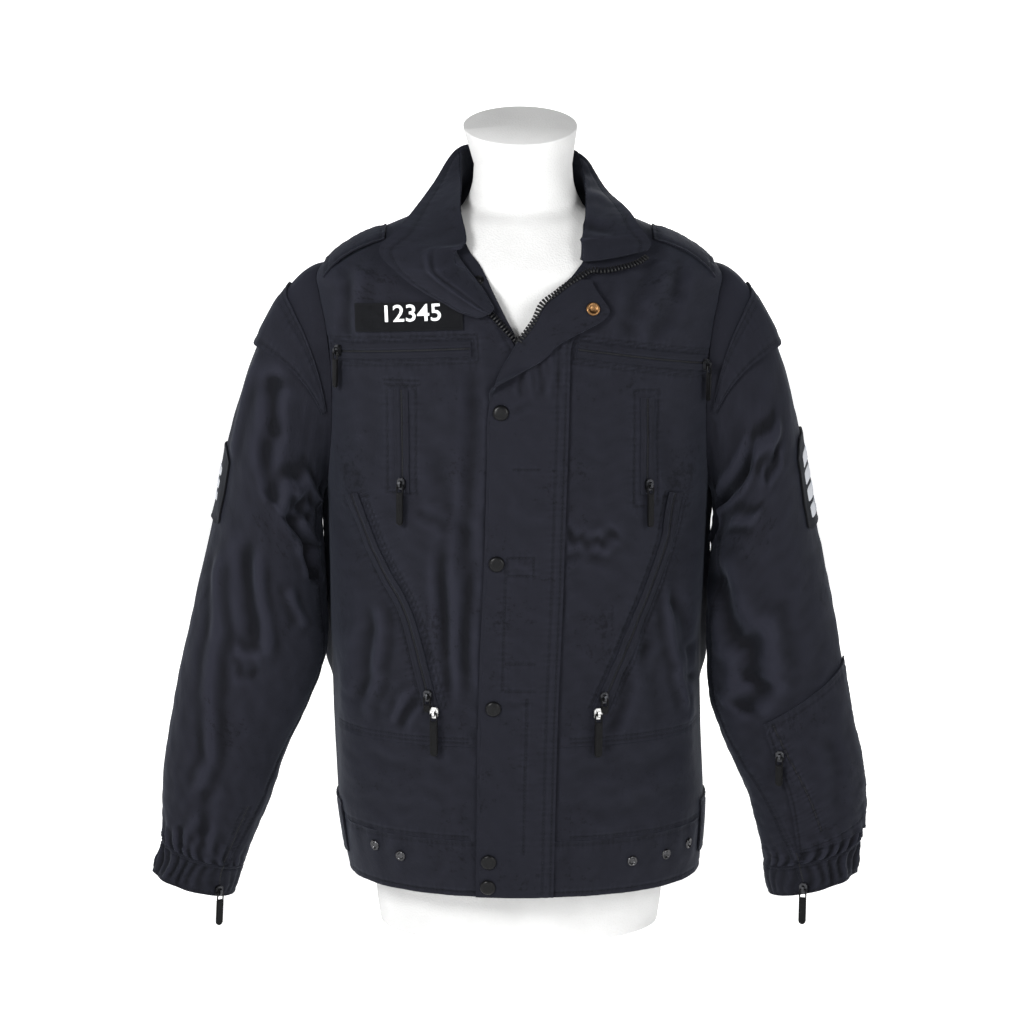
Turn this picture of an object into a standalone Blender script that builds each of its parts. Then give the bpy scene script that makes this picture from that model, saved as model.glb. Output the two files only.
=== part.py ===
"""Duty jacket with a stand collar and storm flap, worn by a limbless foam dress form.

Metres, +Z up, front towards -Y. The origin is the middle of the form's flat base.
"left" and "right" are as seen from the front: left lies towards -X.
"""

import math

import bmesh
import bpy
import numpy as np
from mathutils import Matrix, Vector

# Cloth and gaps
CLOTH = 0.0018            # wall of a cloth panel
DOUBLE_CLOTH = 0.0020     # wall of a flap, band or collar, two layers sewn together
STRIP = 0.0013            # strips along the pocket zips
SEAM_GAP = 0.0003         # between neighbouring pieces at a seam
LAY = 0.0006              # between a panel and what lies on it
SLEEVE_LAY = 0.0010       # the same on the rounder sleeves
FLAP_LAY = 0.0010         # under the storm flap
BIAS_LAY = 0.0014         # and under the slanted pockets, which cross the folds
BAND_LIFT = 0.0002        # the doubled hem band stands this much proud of the panels
COLLAR_LIFT = 0.0028      # middle of the collar's cloth over the panels at its seam

# Main heights
HEM_Z = 0.062
BAND_SEAM_Z = 0.122
WAIST_SEAM_Z = 0.220
ARMPIT_Z = 0.467
ARMHOLE_TOP_Z = 0.7005
SHOULDER_END_Z = 0.752
# Heights of the rows of the fronts and the back, closer where the cloth bends most
FRONT_HEIGHTS = (0.250, 0.282, 0.314, 0.346, 0.378, 0.408, 0.438, ARMPIT_Z, 0.472, 0.485, 0.503, 0.527,
                 0.553, 0.578, 0.600, 0.618, 0.633, 0.645, 0.657, 0.669, 0.682, 0.6935, ARMHOLE_TOP_Z,
                 0.713, 0.726, 0.739)
BACK_HEIGHTS = (0.155, 0.190, 0.225, 0.262, 0.300, 0.340, 0.380, 0.425, ARMPIT_Z, 0.472, 0.487, 0.515,
                0.550, 0.585, 0.618, 0.645, 0.668, 0.684, 0.6945, ARMHOLE_TOP_Z, 0.713, 0.726, 0.739)

# Body sections: z, half_width, front, back, middle, power
BODY = np.array([
    (0.050, 0.185, 0.137, 0.127, 0.006, 2.25),
    (0.075, 0.188, 0.140, 0.129, 0.005, 2.25),
    (0.122, 0.193, 0.144, 0.133, 0.003, 2.25),
    (0.170, 0.195, 0.146, 0.135, 0.000, 2.25),
    (0.220, 0.195, 0.147, 0.135, -0.002, 2.25),
    (0.320, 0.195, 0.149, 0.135, -0.003, 2.25),
    (0.420, 0.197, 0.149, 0.134, -0.002, 2.25),
    (0.500, 0.200, 0.147, 0.132, -0.001, 2.25),
    (0.580, 0.206, 0.141, 0.129, 0.000, 2.25),
    (0.640, 0.211, 0.130, 0.123, 0.000, 2.25),
    (0.670, 0.213, 0.120, 0.117, 0.000, 2.25),
    (0.690, 0.211, 0.108, 0.110, 0.000, 2.25),
    (0.705, 0.196, 0.096, 0.103, 0.000, 2.20),
    (0.720, 0.172, 0.083, 0.096, 0.000, 2.15),
    (0.735, 0.143, 0.070, 0.089, 0.000, 2.10),
    (0.748, 0.112, 0.058, 0.082, 0.000, 2.05),
    (0.757, 0.090, 0.047, 0.076, 0.000, 2.00),
])

# Form sections below the shoulders: z, half_width, front, back, middle, power
FORM_TRUNK = np.array([
    (0.000, 0.148, 0.098, 0.092, 0.000, 2.2),
    (0.030, 0.152, 0.102, 0.096, 0.000, 2.2),
    (0.120, 0.146, 0.101, 0.095, 0.000, 2.2),
    (0.220, 0.138, 0.099, 0.091, 0.000, 2.2),
    (0.330, 0.142, 0.107, 0.095, 0.000, 2.2),
    (0.440, 0.156, 0.119, 0.105, 0.000, 2.2),
    (0.540, 0.168, 0.126, 0.112, 0.000, 2.2),
    (0.600, 0.176, 0.124, 0.113, 0.001, 2.2),
    (0.640, 0.182, 0.116, 0.111, 0.001, 2.2),
    (0.670, 0.186, 0.105, 0.106, 0.001, 2.2),
])
# Form sections at the shoulders follow the jacket this far down and in
FORM_SHOULDER_DROP = 0.0030
FORM_SHOULDER_INSET = 0.0015
FORM_SHOULDER_ROWS = (0.690, 0.703, 0.716, 0.729, 0.741)
FORM_SHOULDER_HALF_WIDTH = 0.1875
# Form sections of the neck: z, half_width, front, back, middle, power
FORM_NECK = np.array([
    (0.7530, 0.070, 0.0450, 0.0640, 0.003, 2.0),
    (0.7640, 0.059, 0.0460, 0.0580, 0.004, 2.0),
    (0.7780, 0.053, 0.0485, 0.0560, 0.004, 2.0),
    (0.8000, 0.0505, 0.0510, 0.0540, 0.004, 2.0),
])
NECK_TOP = dict(middle_z=0.8400, slope=0.364, half_width=0.0560, front=0.0560, back=0.0540, middle=0.004)

# Soft troughs (depth below zero) and ridges in the body cloth, as lines on the unrolled side:
# angle_1, z_1, angle_2, z_2, half_breadth, height
BODY_FOLDS = np.array([
    (-72, 0.455, -40, 0.330, 0.024, -0.0045),
    (-60, 0.330, -66, 0.240, 0.022, 0.0035),
    (-78, 0.300, -82, 0.160, 0.024, -0.0035),
    (70, 0.450, 44, 0.320, 0.024, -0.0045),
    (62, 0.300, 68, 0.225, 0.022, 0.0035),
    (80, 0.330, 78, 0.170, 0.024, -0.0035),
    (118, 0.450, 150, 0.330, 0.028, -0.0050),
    (-118, 0.450, -148, 0.310, 0.028, -0.0050),
    (160, 0.300, 150, 0.150, 0.030, 0.0040),
    (-165, 0.290, -152, 0.140, 0.030, 0.0040),
    (128, 0.260, 112, 0.140, 0.028, -0.0040),
    (-130, 0.250, -114, 0.140, 0.028, -0.0040),
])

# Sleeve sections, x away from the body: z, outer_x, inner_x, middle_y, half_depth, tilt
SLEEVE_LEFT = np.array([
    (0.457, 0.303, 0.2045, -0.003, 0.084, 0.057),
    (0.390, 0.319, 0.2020, -0.008, 0.078, 0.045),
    (0.330, 0.336, 0.2020, -0.016, 0.071, 0.035),
    (0.270, 0.351, 0.2200, -0.026, 0.064, 0.027),
    (0.215, 0.3625, 0.2440, -0.036, 0.059, 0.022),
    (0.165, 0.371, 0.2590, -0.045, 0.055, 0.018),
    (0.125, 0.373, 0.2750, -0.053, 0.050, 0.016),
    (0.098, 0.3715, 0.2850, -0.061, 0.046, 0.014),
    (0.083, 0.373, 0.2900, -0.066, 0.043, 0.013),
    (0.060, 0.381, 0.2970, -0.070, 0.041, 0.012),
])
SLEEVE_RIGHT = np.array([
    (0.457, 0.2945, 0.2020, -0.003, 0.084, 0.057),
    (0.390, 0.3095, 0.1980, -0.008, 0.078, 0.045),
    (0.330, 0.325, 0.1970, -0.016, 0.071, 0.035),
    (0.270, 0.337, 0.2010, -0.026, 0.064, 0.027),
    (0.215, 0.346, 0.2190, -0.036, 0.059, 0.022),
    (0.165, 0.3572, 0.2400, -0.045, 0.055, 0.018),
    (0.125, 0.3603, 0.2500, -0.053, 0.050, 0.016),
    (0.098, 0.357, 0.2555, -0.061, 0.046, 0.014),
    (0.083, 0.354, 0.2560, -0.066, 0.043, 0.013),
    (0.060, 0.3515, 0.2600, -0.070, 0.041, 0.012),
])
# Seams between the top and the under sleeve: step, front_angle, back_angle
SLEEVE_SEAMS = {
    -1: np.array([(0, 152, 232), (2, 160, 232), (4, 174, 230), (6, 155, 226), (9, 128, 218)]),
    1: np.array([(0, 152, 232), (2, 160, 232), (4, 166, 230), (6, 142, 226), (9, 106, 220)]),
}
# Sleeve folds: step_1, angle_1, step_2, angle_2, half_breadth, height
SLEEVE_FOLDS = {
    -1: np.array([
        (1.2, 150, 2.2, 85, 0.017, -0.0060),
        (2.6, 160, 3.6, 70, 0.020, 0.0045),
        (3.6, 165, 4.6, 60, 0.018, -0.0050),
        (5.0, 80, 6.4, 20, 0.018, -0.0040),
        (2.2, 300, 3.4, 230, 0.022, -0.0050),
        (4.2, 310, 5.4, 240, 0.020, 0.0045),
    ]),
    1: np.array([
        (1.3, 60, 2.4, 120, 0.018, -0.0055),
        (2.4, 120, 3.2, 160, 0.018, -0.0055),
        (3.0, 60, 4.2, 130, 0.020, 0.0045),
        (1.8, 230, 3.0, 300, 0.022, -0.0050),
        (3.8, 235, 5.0, 305, 0.020, 0.0045),
    ]),
}
SLEEVE_TOP_PULL = (0.16, 0.0, -0.02)       # leaving direction at the shoulder
SLEEVE_ARMPIT_PULL = (0.035, 0.0, -0.045)  # and at the armpit
SLEEVE_END_STEP = 8.45                     # the cuff starts just past this step
ARMHOLE = dict(front=0.062, back=0.070)
ARMHOLE_INSET = dict(height=0.0009, front=0.0009, back=0.0016)
CUFF_WAVES = 9
CUFF_WAVE_HEIGHT = 0.0016
CUFF_GATHER_MIDDLE = 20                    # angle round which the cuff is gathered
CUFF_GAP = 0.035                           # in steps, between the sleeve and its cuff

# Band over the sleeve head: angles to each side, then steps at its ends and their growth to its middle
CAP = dict(reach=104, start=0.07, start_rise=0.15, depth=0.045, depth_rise=0.235, stand=0.0022)
# Loop across the end of the shoulder seam
SHOULDER_LOOP = dict(inner_x=0.136, outer_x=0.198, front_y=-0.048, back_y=-0.010, arch=0.0030)
# Pocket on the right forearm: angles, steps, and how far its top edge falls a degree
FOREARM_POCKET = dict(front=112, outside=8, top=4.55, fall=0.0045, bottom=7.75)
# Tab at the side of the hem band: angles and heights
SIDE_TAB = dict(front=76, back=96, low=0.084, high=0.140)
# Patches on the upper arms: name, side, first and last angle, first and last step
PATCHES = [
    ("arm_patch_left", -1, -24, 34, 1.02, 1.98),
    ("arm_patch_right", 1, -32, 40, 0.90, 2.02),
]
PATCH_THICKNESS = 0.0014
# Back neckline: where its dip begins, and its depth
NECK_DIP = dict(from_z=0.60, depth=0.010)

# Collar: place along it, angle and height of its seam, then the roll and edge points (x, y, z)
COLLAR_STAND = [
    (-0.74, -50, 0.7300, (-0.055, -0.084, 0.7260), (-0.124, -0.062, 0.7340)),
    (-0.64, -66, 0.7465, (-0.060, -0.058, 0.7520), (-0.1080, -0.028, 0.7530)),
    (-0.52, -92, 0.7525, (-0.060, -0.016, 0.7750), (-0.0905, 0.008, 0.7770)),
    (-0.38, -118, 0.7490, (-0.059, 0.030, 0.7920), (-0.0690, 0.045, 0.8110)),
    (-0.20, -148, 0.7455, (-0.044, 0.070, 0.7820), (-0.0440, 0.073, 0.8210)),
    (0.00, 180, 0.7440, (0.000, 0.083, 0.7780), (0.0000, 0.085, 0.8190)),
    (0.20, 148, 0.7455, (0.046, 0.070, 0.7820), (0.0450, 0.073, 0.8190)),
    (0.38, 118, 0.7490, (0.065, 0.030, 0.7920), (0.0710, 0.045, 0.8030)),
    (0.52, 92, 0.7525, (0.068, -0.016, 0.7750), (0.0905, 0.010, 0.7730)),
    (0.64, 66, 0.7465, (0.068, -0.056, 0.7520), (0.1110, -0.030, 0.7530)),
    (0.74, 50, 0.7300, (0.065, -0.080, 0.7300), (0.1220, -0.062, 0.7370)),
]
# Lapel rows, on the front: place, seam_x, seam_z, roll_x, roll_z, roll_lift, edge_x, edge_z, edge_lift
COLLAR_LEFT_END = [
    (-0.84, -0.064, 0.7120, -0.063, 0.7080, 0.0085, -0.138, 0.7060, 0.0075),
    (-0.91, -0.057, 0.7020, -0.061, 0.6920, 0.0080, -0.117, 0.6870, 0.0070),
    (-0.98, -0.047, 0.6900, -0.050, 0.6800, 0.0080, -0.095, 0.6730, 0.0070),
    (-1.05, -0.037, 0.6780, -0.039, 0.6690, 0.0075, -0.075, 0.6630, 0.0068),
    (-1.11, -0.030, 0.6670, -0.031, 0.6610, 0.0070, -0.057, 0.6540, 0.0065),
    (-1.15, -0.026, 0.6600, -0.026, 0.6560, 0.0065, -0.041, 0.6490, 0.0062),
]
COLLAR_RIGHT_END = [
    (0.82, 0.066, 0.7150, 0.062, 0.7140, 0.0075, 0.130, 0.7150, 0.0085),
    (0.87, 0.061, 0.7050, 0.062, 0.7010, 0.0070, 0.127, 0.7090, 0.0080),
]

# Neckline of the fronts: z, left_x, right_x
NECKLINE = np.array([
    (0.560, -0.0035, -0.0032),
    (0.620, -0.0035, -0.0032),
    (0.633, -0.0100, 0.0040),
    (0.645, -0.0170, 0.0130),
    (0.655, -0.0240, 0.0190),
    (0.665, -0.0310, 0.0260),
    (0.680, -0.0430, 0.0410),
    (0.690, -0.0500, 0.0520),
    (0.702, -0.0600, 0.0620),
    (0.715, -0.0680, 0.0690),
    (0.728, -0.0750, 0.0760),
    (0.740, -0.0800, 0.0805),
    (0.752, -0.0845, 0.0845),
])

# Underlap that carries the stud, behind the left front edge: z, outer_x, inner_x
UNDERLAP = np.array([
    (0.600, -0.030, -0.0060),
    (0.620, -0.032, -0.0040),
    (0.633, -0.034, -0.0045),
    (0.650, -0.042, -0.0130),
    (0.665, -0.050, -0.0205),
    (0.680, -0.060, -0.0280),
    (0.692, -0.067, -0.0335),
    (0.704, -0.071, -0.0405),
    (0.714, -0.074, -0.0480),
])

# Storm flap: z, seam_x, fold_x, turned, turn_degrees (turned is the breadth beyond the fold)
STORM_FLAP = np.array([
    (0.0625, 0.0345, -0.0410, 0.003, 0),
    (0.1220, 0.0355, -0.0400, 0.003, 0),
    (0.1700, 0.0365, -0.0395, 0.003, 0),
    (0.2200, 0.0375, -0.0390, 0.003, 0),
    (0.2700, 0.0390, -0.0375, 0.003, 0),
    (0.3200, 0.0410, -0.0360, 0.003, 0),
    (0.3700, 0.0430, -0.0335, 0.003, 0),
    (0.4200, 0.0445, -0.0315, 0.003, 0),
    (0.4700, 0.0460, -0.0300, 0.003, 0),
    (0.5150, 0.0475, -0.0290, 0.003, 0),
    (0.5500, 0.0485, -0.0285, 0.003, 0),
    (0.5680, 0.0490, -0.0265, 0.003, 0),
    (0.5770, 0.0490, -0.0240, 0.005, 50),
    (0.5850, 0.0492, -0.0210, 0.009, 110),
    (0.5925, 0.0494, -0.0185, 0.015, 155),
    (0.6000, 0.0496, -0.0150, 0.022, 175),
    (0.6070, 0.0498, -0.0110, 0.031, 180),
    (0.6140, 0.0500, -0.0065, 0.0355, 180),
    (0.6220, 0.0510, -0.0020, 0.0385, 180),
    (0.6300, 0.0540, 0.0035, 0.0465, 180),
    (0.6400, 0.0640, 0.0115, 0.0590, 180),
    (0.6480, 0.0730, 0.0175, 0.0660, 180),
    (0.6550, 0.0770, 0.0230, 0.0650, 180),
    (0.6620, 0.0745, 0.0290, 0.0550, 180),
    (0.6700, 0.0710, 0.0390, 0.0390, 180),
    (0.6780, 0.0680, 0.0500, 0.0230, 180),
    (0.6840, 0.0665, 0.0580, 0.0120, 180),
])
FLAP_TURN_RADIUS = 0.0021

# Colours, as linear RGB
NAVY = (0.0122, 0.0145, 0.0205)
NAVY_LIGHT = (0.0150, 0.0175, 0.0240)
NAVY_DARK = (0.0090, 0.0105, 0.0150)
BLACK = (0.0060, 0.0060, 0.0068)
FOAM = (0.800, 0.800, 0.790)
BRASS = (0.420, 0.270, 0.110)
DARK_METAL = (0.050, 0.052, 0.058)


# Reading the tables

def curve_at(places, values, where):
    """A smooth curve through values at the given places, read at where."""
    places = np.asarray(places, float)
    values = np.asarray(values, float)
    where = np.asarray(where, float)
    step = np.diff(places)
    shape = (-1,) + (1,) * (values.ndim - 1)
    slope = np.diff(values, axis=0) / step.reshape(shape)
    tangent = np.empty_like(values)
    tangent[0] = slope[0]
    tangent[-1] = slope[-1]
    weight = (step[:-1] / (step[:-1] + step[1:])).reshape(shape)
    tangent[1:-1] = slope[:-1] * (1 - weight) + slope[1:] * weight
    index = np.clip(np.searchsorted(places, where, side="right") - 1, 0, len(places) - 2)
    length = step[index]
    t = np.clip((where - places[index]) / length, 0, 1)
    extra = (Ellipsis,) + (None,) * (values.ndim - 1)
    t = t[extra]
    length = length[extra]
    return ((2 * t**3 - 3 * t**2 + 1) * values[index]
            + (t**3 - 2 * t**2 + t) * length * tangent[index]
            + (3 * t**2 - 2 * t**3) * values[index + 1]
            + (t**3 - t**2) * length * tangent[index + 1])


def section_at(table, z):
    """Half width, front, back, middle and power of a section table at height z."""
    return np.moveaxis(curve_at(table[:, 0], table[:, 1:], z), -1, 0)


def fold_height(folds, along, height, scale):
    """Sum of soft troughs and ridges at places (along, height); scale turns along into metres."""
    total = np.zeros(np.broadcast(along, height).shape)
    for along_1, height_1, along_2, height_2, half_breadth, size in folds:
        start = np.array((along_1 * scale[0], height_1 * scale[1]))
        run = np.array((along_2 * scale[0], height_2 * scale[1])) - start
        length = np.hypot(*run)
        du = along * scale[0] - start[0]
        dv = height * scale[1] - start[1]
        t = (du * run[0] + dv * run[1]) / length**2
        across = (du * run[1] - dv * run[0]) / length
        taper = np.exp(-np.clip(np.abs(t - 0.5) - 0.32, 0, None)**2 / 0.045)
        total = total + size * taper * np.exp(-(across / half_breadth)**2)
    return total


# Surfaces of the garment

def ring_point(table, angle, z):
    """A point of a section table; angle 0 is the front, 90 the right side, 180 the back."""
    width, front, back, middle, power = section_at(table, z)
    turn = np.radians(angle)
    sine, cosine = np.sin(turn), np.cos(turn)
    depth = np.where(cosine >= 0, front, back)
    radius = ((np.abs(sine) / width)**power + (np.abs(cosine) / depth)**power)**(-1 / power)
    return np.stack((middle + radius * sine, -radius * cosine, z + 0 * radius), -1)


def unit(vectors):
    return vectors / np.maximum(np.linalg.norm(vectors, axis=-1, keepdims=True), 1e-9)


def body_normal(angle, z):
    small_angle, small_z = 0.5, 0.001
    around = ring_point(BODY, angle + small_angle, z) - ring_point(BODY, angle - small_angle, z)
    upward = ring_point(BODY, angle, z + small_z) - ring_point(BODY, angle, z - small_z)
    return unit(np.cross(around, upward))


def body_point(angle, z, lift=0.0):
    """The jacket's outer surface with its folds, moved out by lift."""
    angle, z = np.broadcast_arrays(np.asarray(angle, float), np.asarray(z, float))
    fade = np.clip((0.60 - z) / 0.10, 0, 1) * np.clip((z - 0.055) / 0.03, 0, 1)
    wrapped = (angle + 180) % 360 - 180
    rise = fold_height(BODY_FOLDS, wrapped, z, (0.0031, 1.0)) * fade
    return ring_point(BODY, angle, z) + body_normal(angle, z) * (rise + lift)[..., None]


def front_angle(x, z):
    """The angle at which the front reaches x at height z."""
    width, front, back, middle, power = section_at(BODY, z)
    share = np.clip(np.abs((x - middle) / width), 0, 0.9999)
    depth = front * (1 - share**power)**(1 / power)
    return np.degrees(np.arctan2(x - middle, depth))


def front_point(x, z, lift=0.0):
    x, z = np.broadcast_arrays(np.asarray(x, float), np.asarray(z, float))
    return body_point(front_angle(x, z), z, lift)


def shoulder_point(x, y, lift=0.0):
    """The top of the shoulder over (x, y), found by halving in height."""
    x, y = np.broadcast_arrays(np.asarray(x, float), np.asarray(y, float))
    low = np.full(x.shape, 0.672)
    high = np.full(x.shape, 0.757)
    for _ in range(30):
        z = (low + high) / 2
        width, front, back, middle, power = section_at(BODY, z)
        depth = np.where(y < 0, front, back)
        inside = (np.abs((x - middle) / width))**power + (np.abs(y) / depth)**power < 1
        low = np.where(inside, z, low)
        high = np.where(inside, high, z)
    angle = np.degrees(np.arctan2(x - middle, -y))
    return body_point(angle, z, lift)


def armhole_depth(z, half_depth):
    """How far the armhole's edge stands in front of or behind the side at height z."""
    middle = (ARMPIT_Z + ARMHOLE_TOP_Z) / 2
    half_height = (ARMHOLE_TOP_Z - ARMPIT_Z) / 2
    return half_depth * np.sqrt(np.clip(1 - ((z - middle) / half_height)**2, 0, 1))


def angle_at_depth(z, depth, backward):
    """Angle from the front at which the section is depth away from the side line."""
    width, front, back, middle, power = section_at(BODY, z)
    full = back if backward else front
    share = np.clip(depth / full, 0, 0.999)
    across = width * (1 - share**power)**(1 / power)
    angle = np.degrees(np.arctan2(across, depth))
    return 180 - angle if backward else angle


def sleeve_table(side):
    return SLEEVE_RIGHT if side > 0 else SLEEVE_LEFT


def sleeve_ring(side, step, angle):
    """Sleeve section number step - 1; angle 0 is outside, 90 front, 180 the body's side."""
    table = sleeve_table(side)
    places = np.arange(1, len(table) + 1)
    z, outer, inner, middle_y, half_depth, tilt = np.moveaxis(curve_at(places, table, step), -1, 0)
    turn = np.radians(angle)
    x = (outer + inner) / 2 + (outer - inner) / 2 * np.cos(turn)
    return np.stack((side * x, middle_y - half_depth * np.sin(turn), z + tilt * np.cos(turn)), -1)


def armhole_ring(side, angle):
    """The armhole's edge; angle 0 is the shoulder, 90 the front, 180 the armpit."""
    turn = np.radians(angle)
    middle = (ARMPIT_Z + ARMHOLE_TOP_Z) / 2
    half_height = (ARMHOLE_TOP_Z - ARMPIT_Z) / 2 - ARMHOLE_INSET["height"]
    z = middle + half_height * np.cos(turn)
    depth_front = (ARMHOLE["front"] - ARMHOLE_INSET["front"]) * np.abs(np.sin(turn))
    depth_back = (ARMHOLE["back"] - ARMHOLE_INSET["back"]) * np.abs(np.sin(turn))
    at_front = angle_at_depth(z, depth_front, False)
    at_back = angle_at_depth(z, depth_back, True)
    body_angle = np.where(np.sin(turn) >= 0, at_front, at_back)
    return ring_point(BODY, side * body_angle, z)


def sleeve_base(side, step, angle):
    step, angle = np.broadcast_arrays(np.asarray(step, float), np.asarray(angle, float))
    top_share = ((1 + np.cos(np.radians(angle))) / 2)[..., None]
    sign = np.array((side, 1.0, 1.0))
    start = armhole_ring(side, angle)
    end = sleeve_ring(side, np.ones_like(step), angle)
    leave = sign * (top_share * SLEEVE_TOP_PULL + (1 - top_share) * SLEEVE_ARMPIT_PULL)
    ahead = sleeve_ring(side, np.full_like(step, 1.5), angle)
    arrive = (ahead - end) * (1.0 + 1.6 * top_share)
    t = np.clip(step, 0, 1)[..., None]
    blend = ((2 * t**3 - 3 * t**2 + 1) * start + (t**3 - 2 * t**2 + t) * leave
             + (3 * t**2 - 2 * t**3) * end + (t**3 - t**2) * arrive)
    return np.where((step <= 1)[..., None], blend, sleeve_ring(side, np.maximum(step, 1), angle))


def sleeve_normal(side, step, angle):
    low = np.clip(step - 0.02, 0, 10)
    high = np.clip(step + 0.02, 0, 10)
    along = sleeve_base(side, high, angle) - sleeve_base(side, low, angle)
    around = sleeve_base(side, step, angle + 1.0) - sleeve_base(side, step, angle - 1.0)
    return unit(np.cross(around, along)) * side


def sleeve_point(side, step, angle, lift=0.0):
    """The sleeve's outer surface with its folds, moved out by lift."""
    step, angle = np.broadcast_arrays(np.asarray(step, float), np.asarray(angle, float))
    fade = np.clip((step - 0.9) / 0.5, 0, 1) * np.clip((8.2 - step) / 1.0, 0, 1)
    clear_of_body = np.clip(np.abs(angle - 180) / 26 - 0.3, 0, 1)
    wrapped = angle % 360
    rise = fold_height(SLEEVE_FOLDS[side], wrapped, step, (0.00115, 0.060)) * fade * clear_of_body
    normal = sleeve_normal(side, step, angle)
    return sleeve_base(side, step, angle) + normal * (rise + lift)[..., None]


# Making meshes

def material_for(name, colour, roughness, metallic):
    material = bpy.data.materials.new(name)
    material.use_nodes = True
    shader = material.node_tree.nodes["Principled BSDF"]
    shader.inputs["Base Color"].default_value = (*colour, 1)
    shader.inputs["Roughness"].default_value = roughness
    shader.inputs["Metallic"].default_value = metallic
    return material


def add_object(name, mesh, colour, roughness=0.85, metallic=0.0):
    mesh.shade_smooth()
    mesh.set_sharp_from_angle(angle=math.radians(35))
    mesh.materials.append(material_for(name, colour, roughness, metallic))
    piece = bpy.data.objects.new(name, mesh)
    bpy.context.scene.collection.objects.link(piece)
    return piece


def signed_volume(vertices, faces):
    total = 0.0
    for face in faces:
        first = vertices[face[0]]
        for second, third in zip(face[1:-1], face[2:]):
            total += np.dot(first, np.cross(vertices[second], vertices[third]))
    return total / 6


def closed_mesh(name, vertices, faces):
    """A mesh of one closed body, its faces turned outwards."""
    if signed_volume(vertices, faces) < 0:
        faces = [tuple(reversed(face)) for face in faces]
    mesh = bpy.data.meshes.new(name)
    mesh.from_pydata([tuple(v) for v in vertices], [], faces)
    return mesh


def grid_normals(points, closed):
    if closed:
        around = np.roll(points, -1, axis=1) - np.roll(points, 1, axis=1)
    else:
        around = np.gradient(points, axis=1)
    return unit(np.cross(around, np.gradient(points, axis=0)))


def two_sided(outer, inner, closed):
    """Vertices and faces of a wall between two grids of the same size."""
    rows, columns = outer.shape[:2]
    vertices = np.concatenate((outer.reshape(-1, 3), inner.reshape(-1, 3)))
    offset = rows * columns
    faces = []
    last = columns if closed else columns - 1
    for row in range(rows - 1):
        for column in range(last):
            right = (column + 1) % columns
            a, b = row * columns + column, row * columns + right
            c, d = b + columns, a + columns
            faces.append((a, b, c, d))
            faces.append((d + offset, c + offset, b + offset, a + offset))
    for column in range(last):
        right = (column + 1) % columns
        low_a, low_b = column, right
        top_a, top_b = (rows - 1) * columns + column, (rows - 1) * columns + right
        faces.append((low_b, low_a, low_a + offset, low_b + offset))
        faces.append((top_a, top_b, top_b + offset, top_a + offset))
    if not closed:
        for row in range(rows - 1):
            a, d = row * columns, (row + 1) * columns
            b, c = a + columns - 1, d + columns - 1
            faces.append((a, d, d + offset, a + offset))
            faces.append((c, b, b + offset, c + offset))
    return vertices, faces


def wall(name, points, colour, thickness=CLOTH, closed=False, outward=None, lift=0.0, normals=None):
    """A cloth wall whose outer side is the grid of points, moved out by lift."""
    if normals is None:
        normals = grid_normals(points, closed)
    if outward is None:
        away = points - np.array((0.0, 0.0, 0.45))
        away[..., 2] = 0
    else:
        away = outward
    if np.sum(normals * away) < 0:
        normals = -normals
    lift = np.broadcast_to(np.asarray(lift, float), points.shape[:2])[..., None]
    outer = points + normals * lift
    inner = points + normals * (lift - thickness)
    vertices, faces = two_sided(outer, inner, closed)
    return add_object(name, closed_mesh(name, vertices, faces), colour)


def spread(low, high, count):
    return np.linspace(low, high, count)


# Panels of the body

def side_limit(z, backward):
    """Angle of a body panel's outer edge: side seam, armhole edge or shoulder seam."""
    half_gap = 0.045
    depth = armhole_depth(z, ARMHOLE["back"] if backward else ARMHOLE["front"])
    at_armhole = angle_at_depth(z, depth, backward)
    shift = half_gap if backward else -half_gap
    return np.where((z > ARMPIT_Z) & (z < ARMHOLE_TOP_Z), at_armhole + shift, 90 + shift)


def front_panel(name, side, z, columns):
    z = np.array(z)
    edge_x = np.interp(z, NECKLINE[:, 0], NECKLINE[:, 1 if side < 0 else 2])
    inner = front_angle(edge_x, z)
    outer = side * side_limit(z, False)
    share = spread(0, 1, columns)
    angle = inner[:, None] + (outer - inner)[:, None] * share
    height = z[:, None] + 0 * angle
    wall(name, body_point(angle, height), NAVY, normals=body_normal(angle, height))


def back_panel():
    z = np.array((BAND_SEAM_Z + SEAM_GAP / 2,) + BACK_HEIGHTS + (SHOULDER_END_Z,))
    limit = side_limit(z, True)
    share = spread(0, 1, 17)
    angle = limit[:, None] + (360 - 2 * limit)[:, None] * share
    away_from_edge = 1 - np.abs(angle - 180) / (180 - limit)[:, None]
    near_top = np.clip((z[:, None] - NECK_DIP["from_z"]) / (SHOULDER_END_Z - NECK_DIP["from_z"]), 0, 1)
    height = z[:, None] - NECK_DIP["depth"] * np.sqrt(np.clip(away_from_edge, 0, 1)) * near_top**2
    wall("back_panel", body_point(angle, height), NAVY, normals=body_normal(angle, height))


def hem_band():
    z = spread(HEM_Z, BAND_SEAM_Z - SEAM_GAP / 2, 3)
    start = float(front_angle(-0.0033, 0.09))
    end = float(front_angle(-0.0030, 0.09)) + 360
    angle, height = np.meshgrid(spread(end, start, 39), z)
    points = body_point(angle, height, BAND_LIFT)
    wall("hem_band", points, NAVY_LIGHT, DOUBLE_CLOTH, normals=body_normal(angle, height))


# Collar, underlap and storm flap

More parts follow.
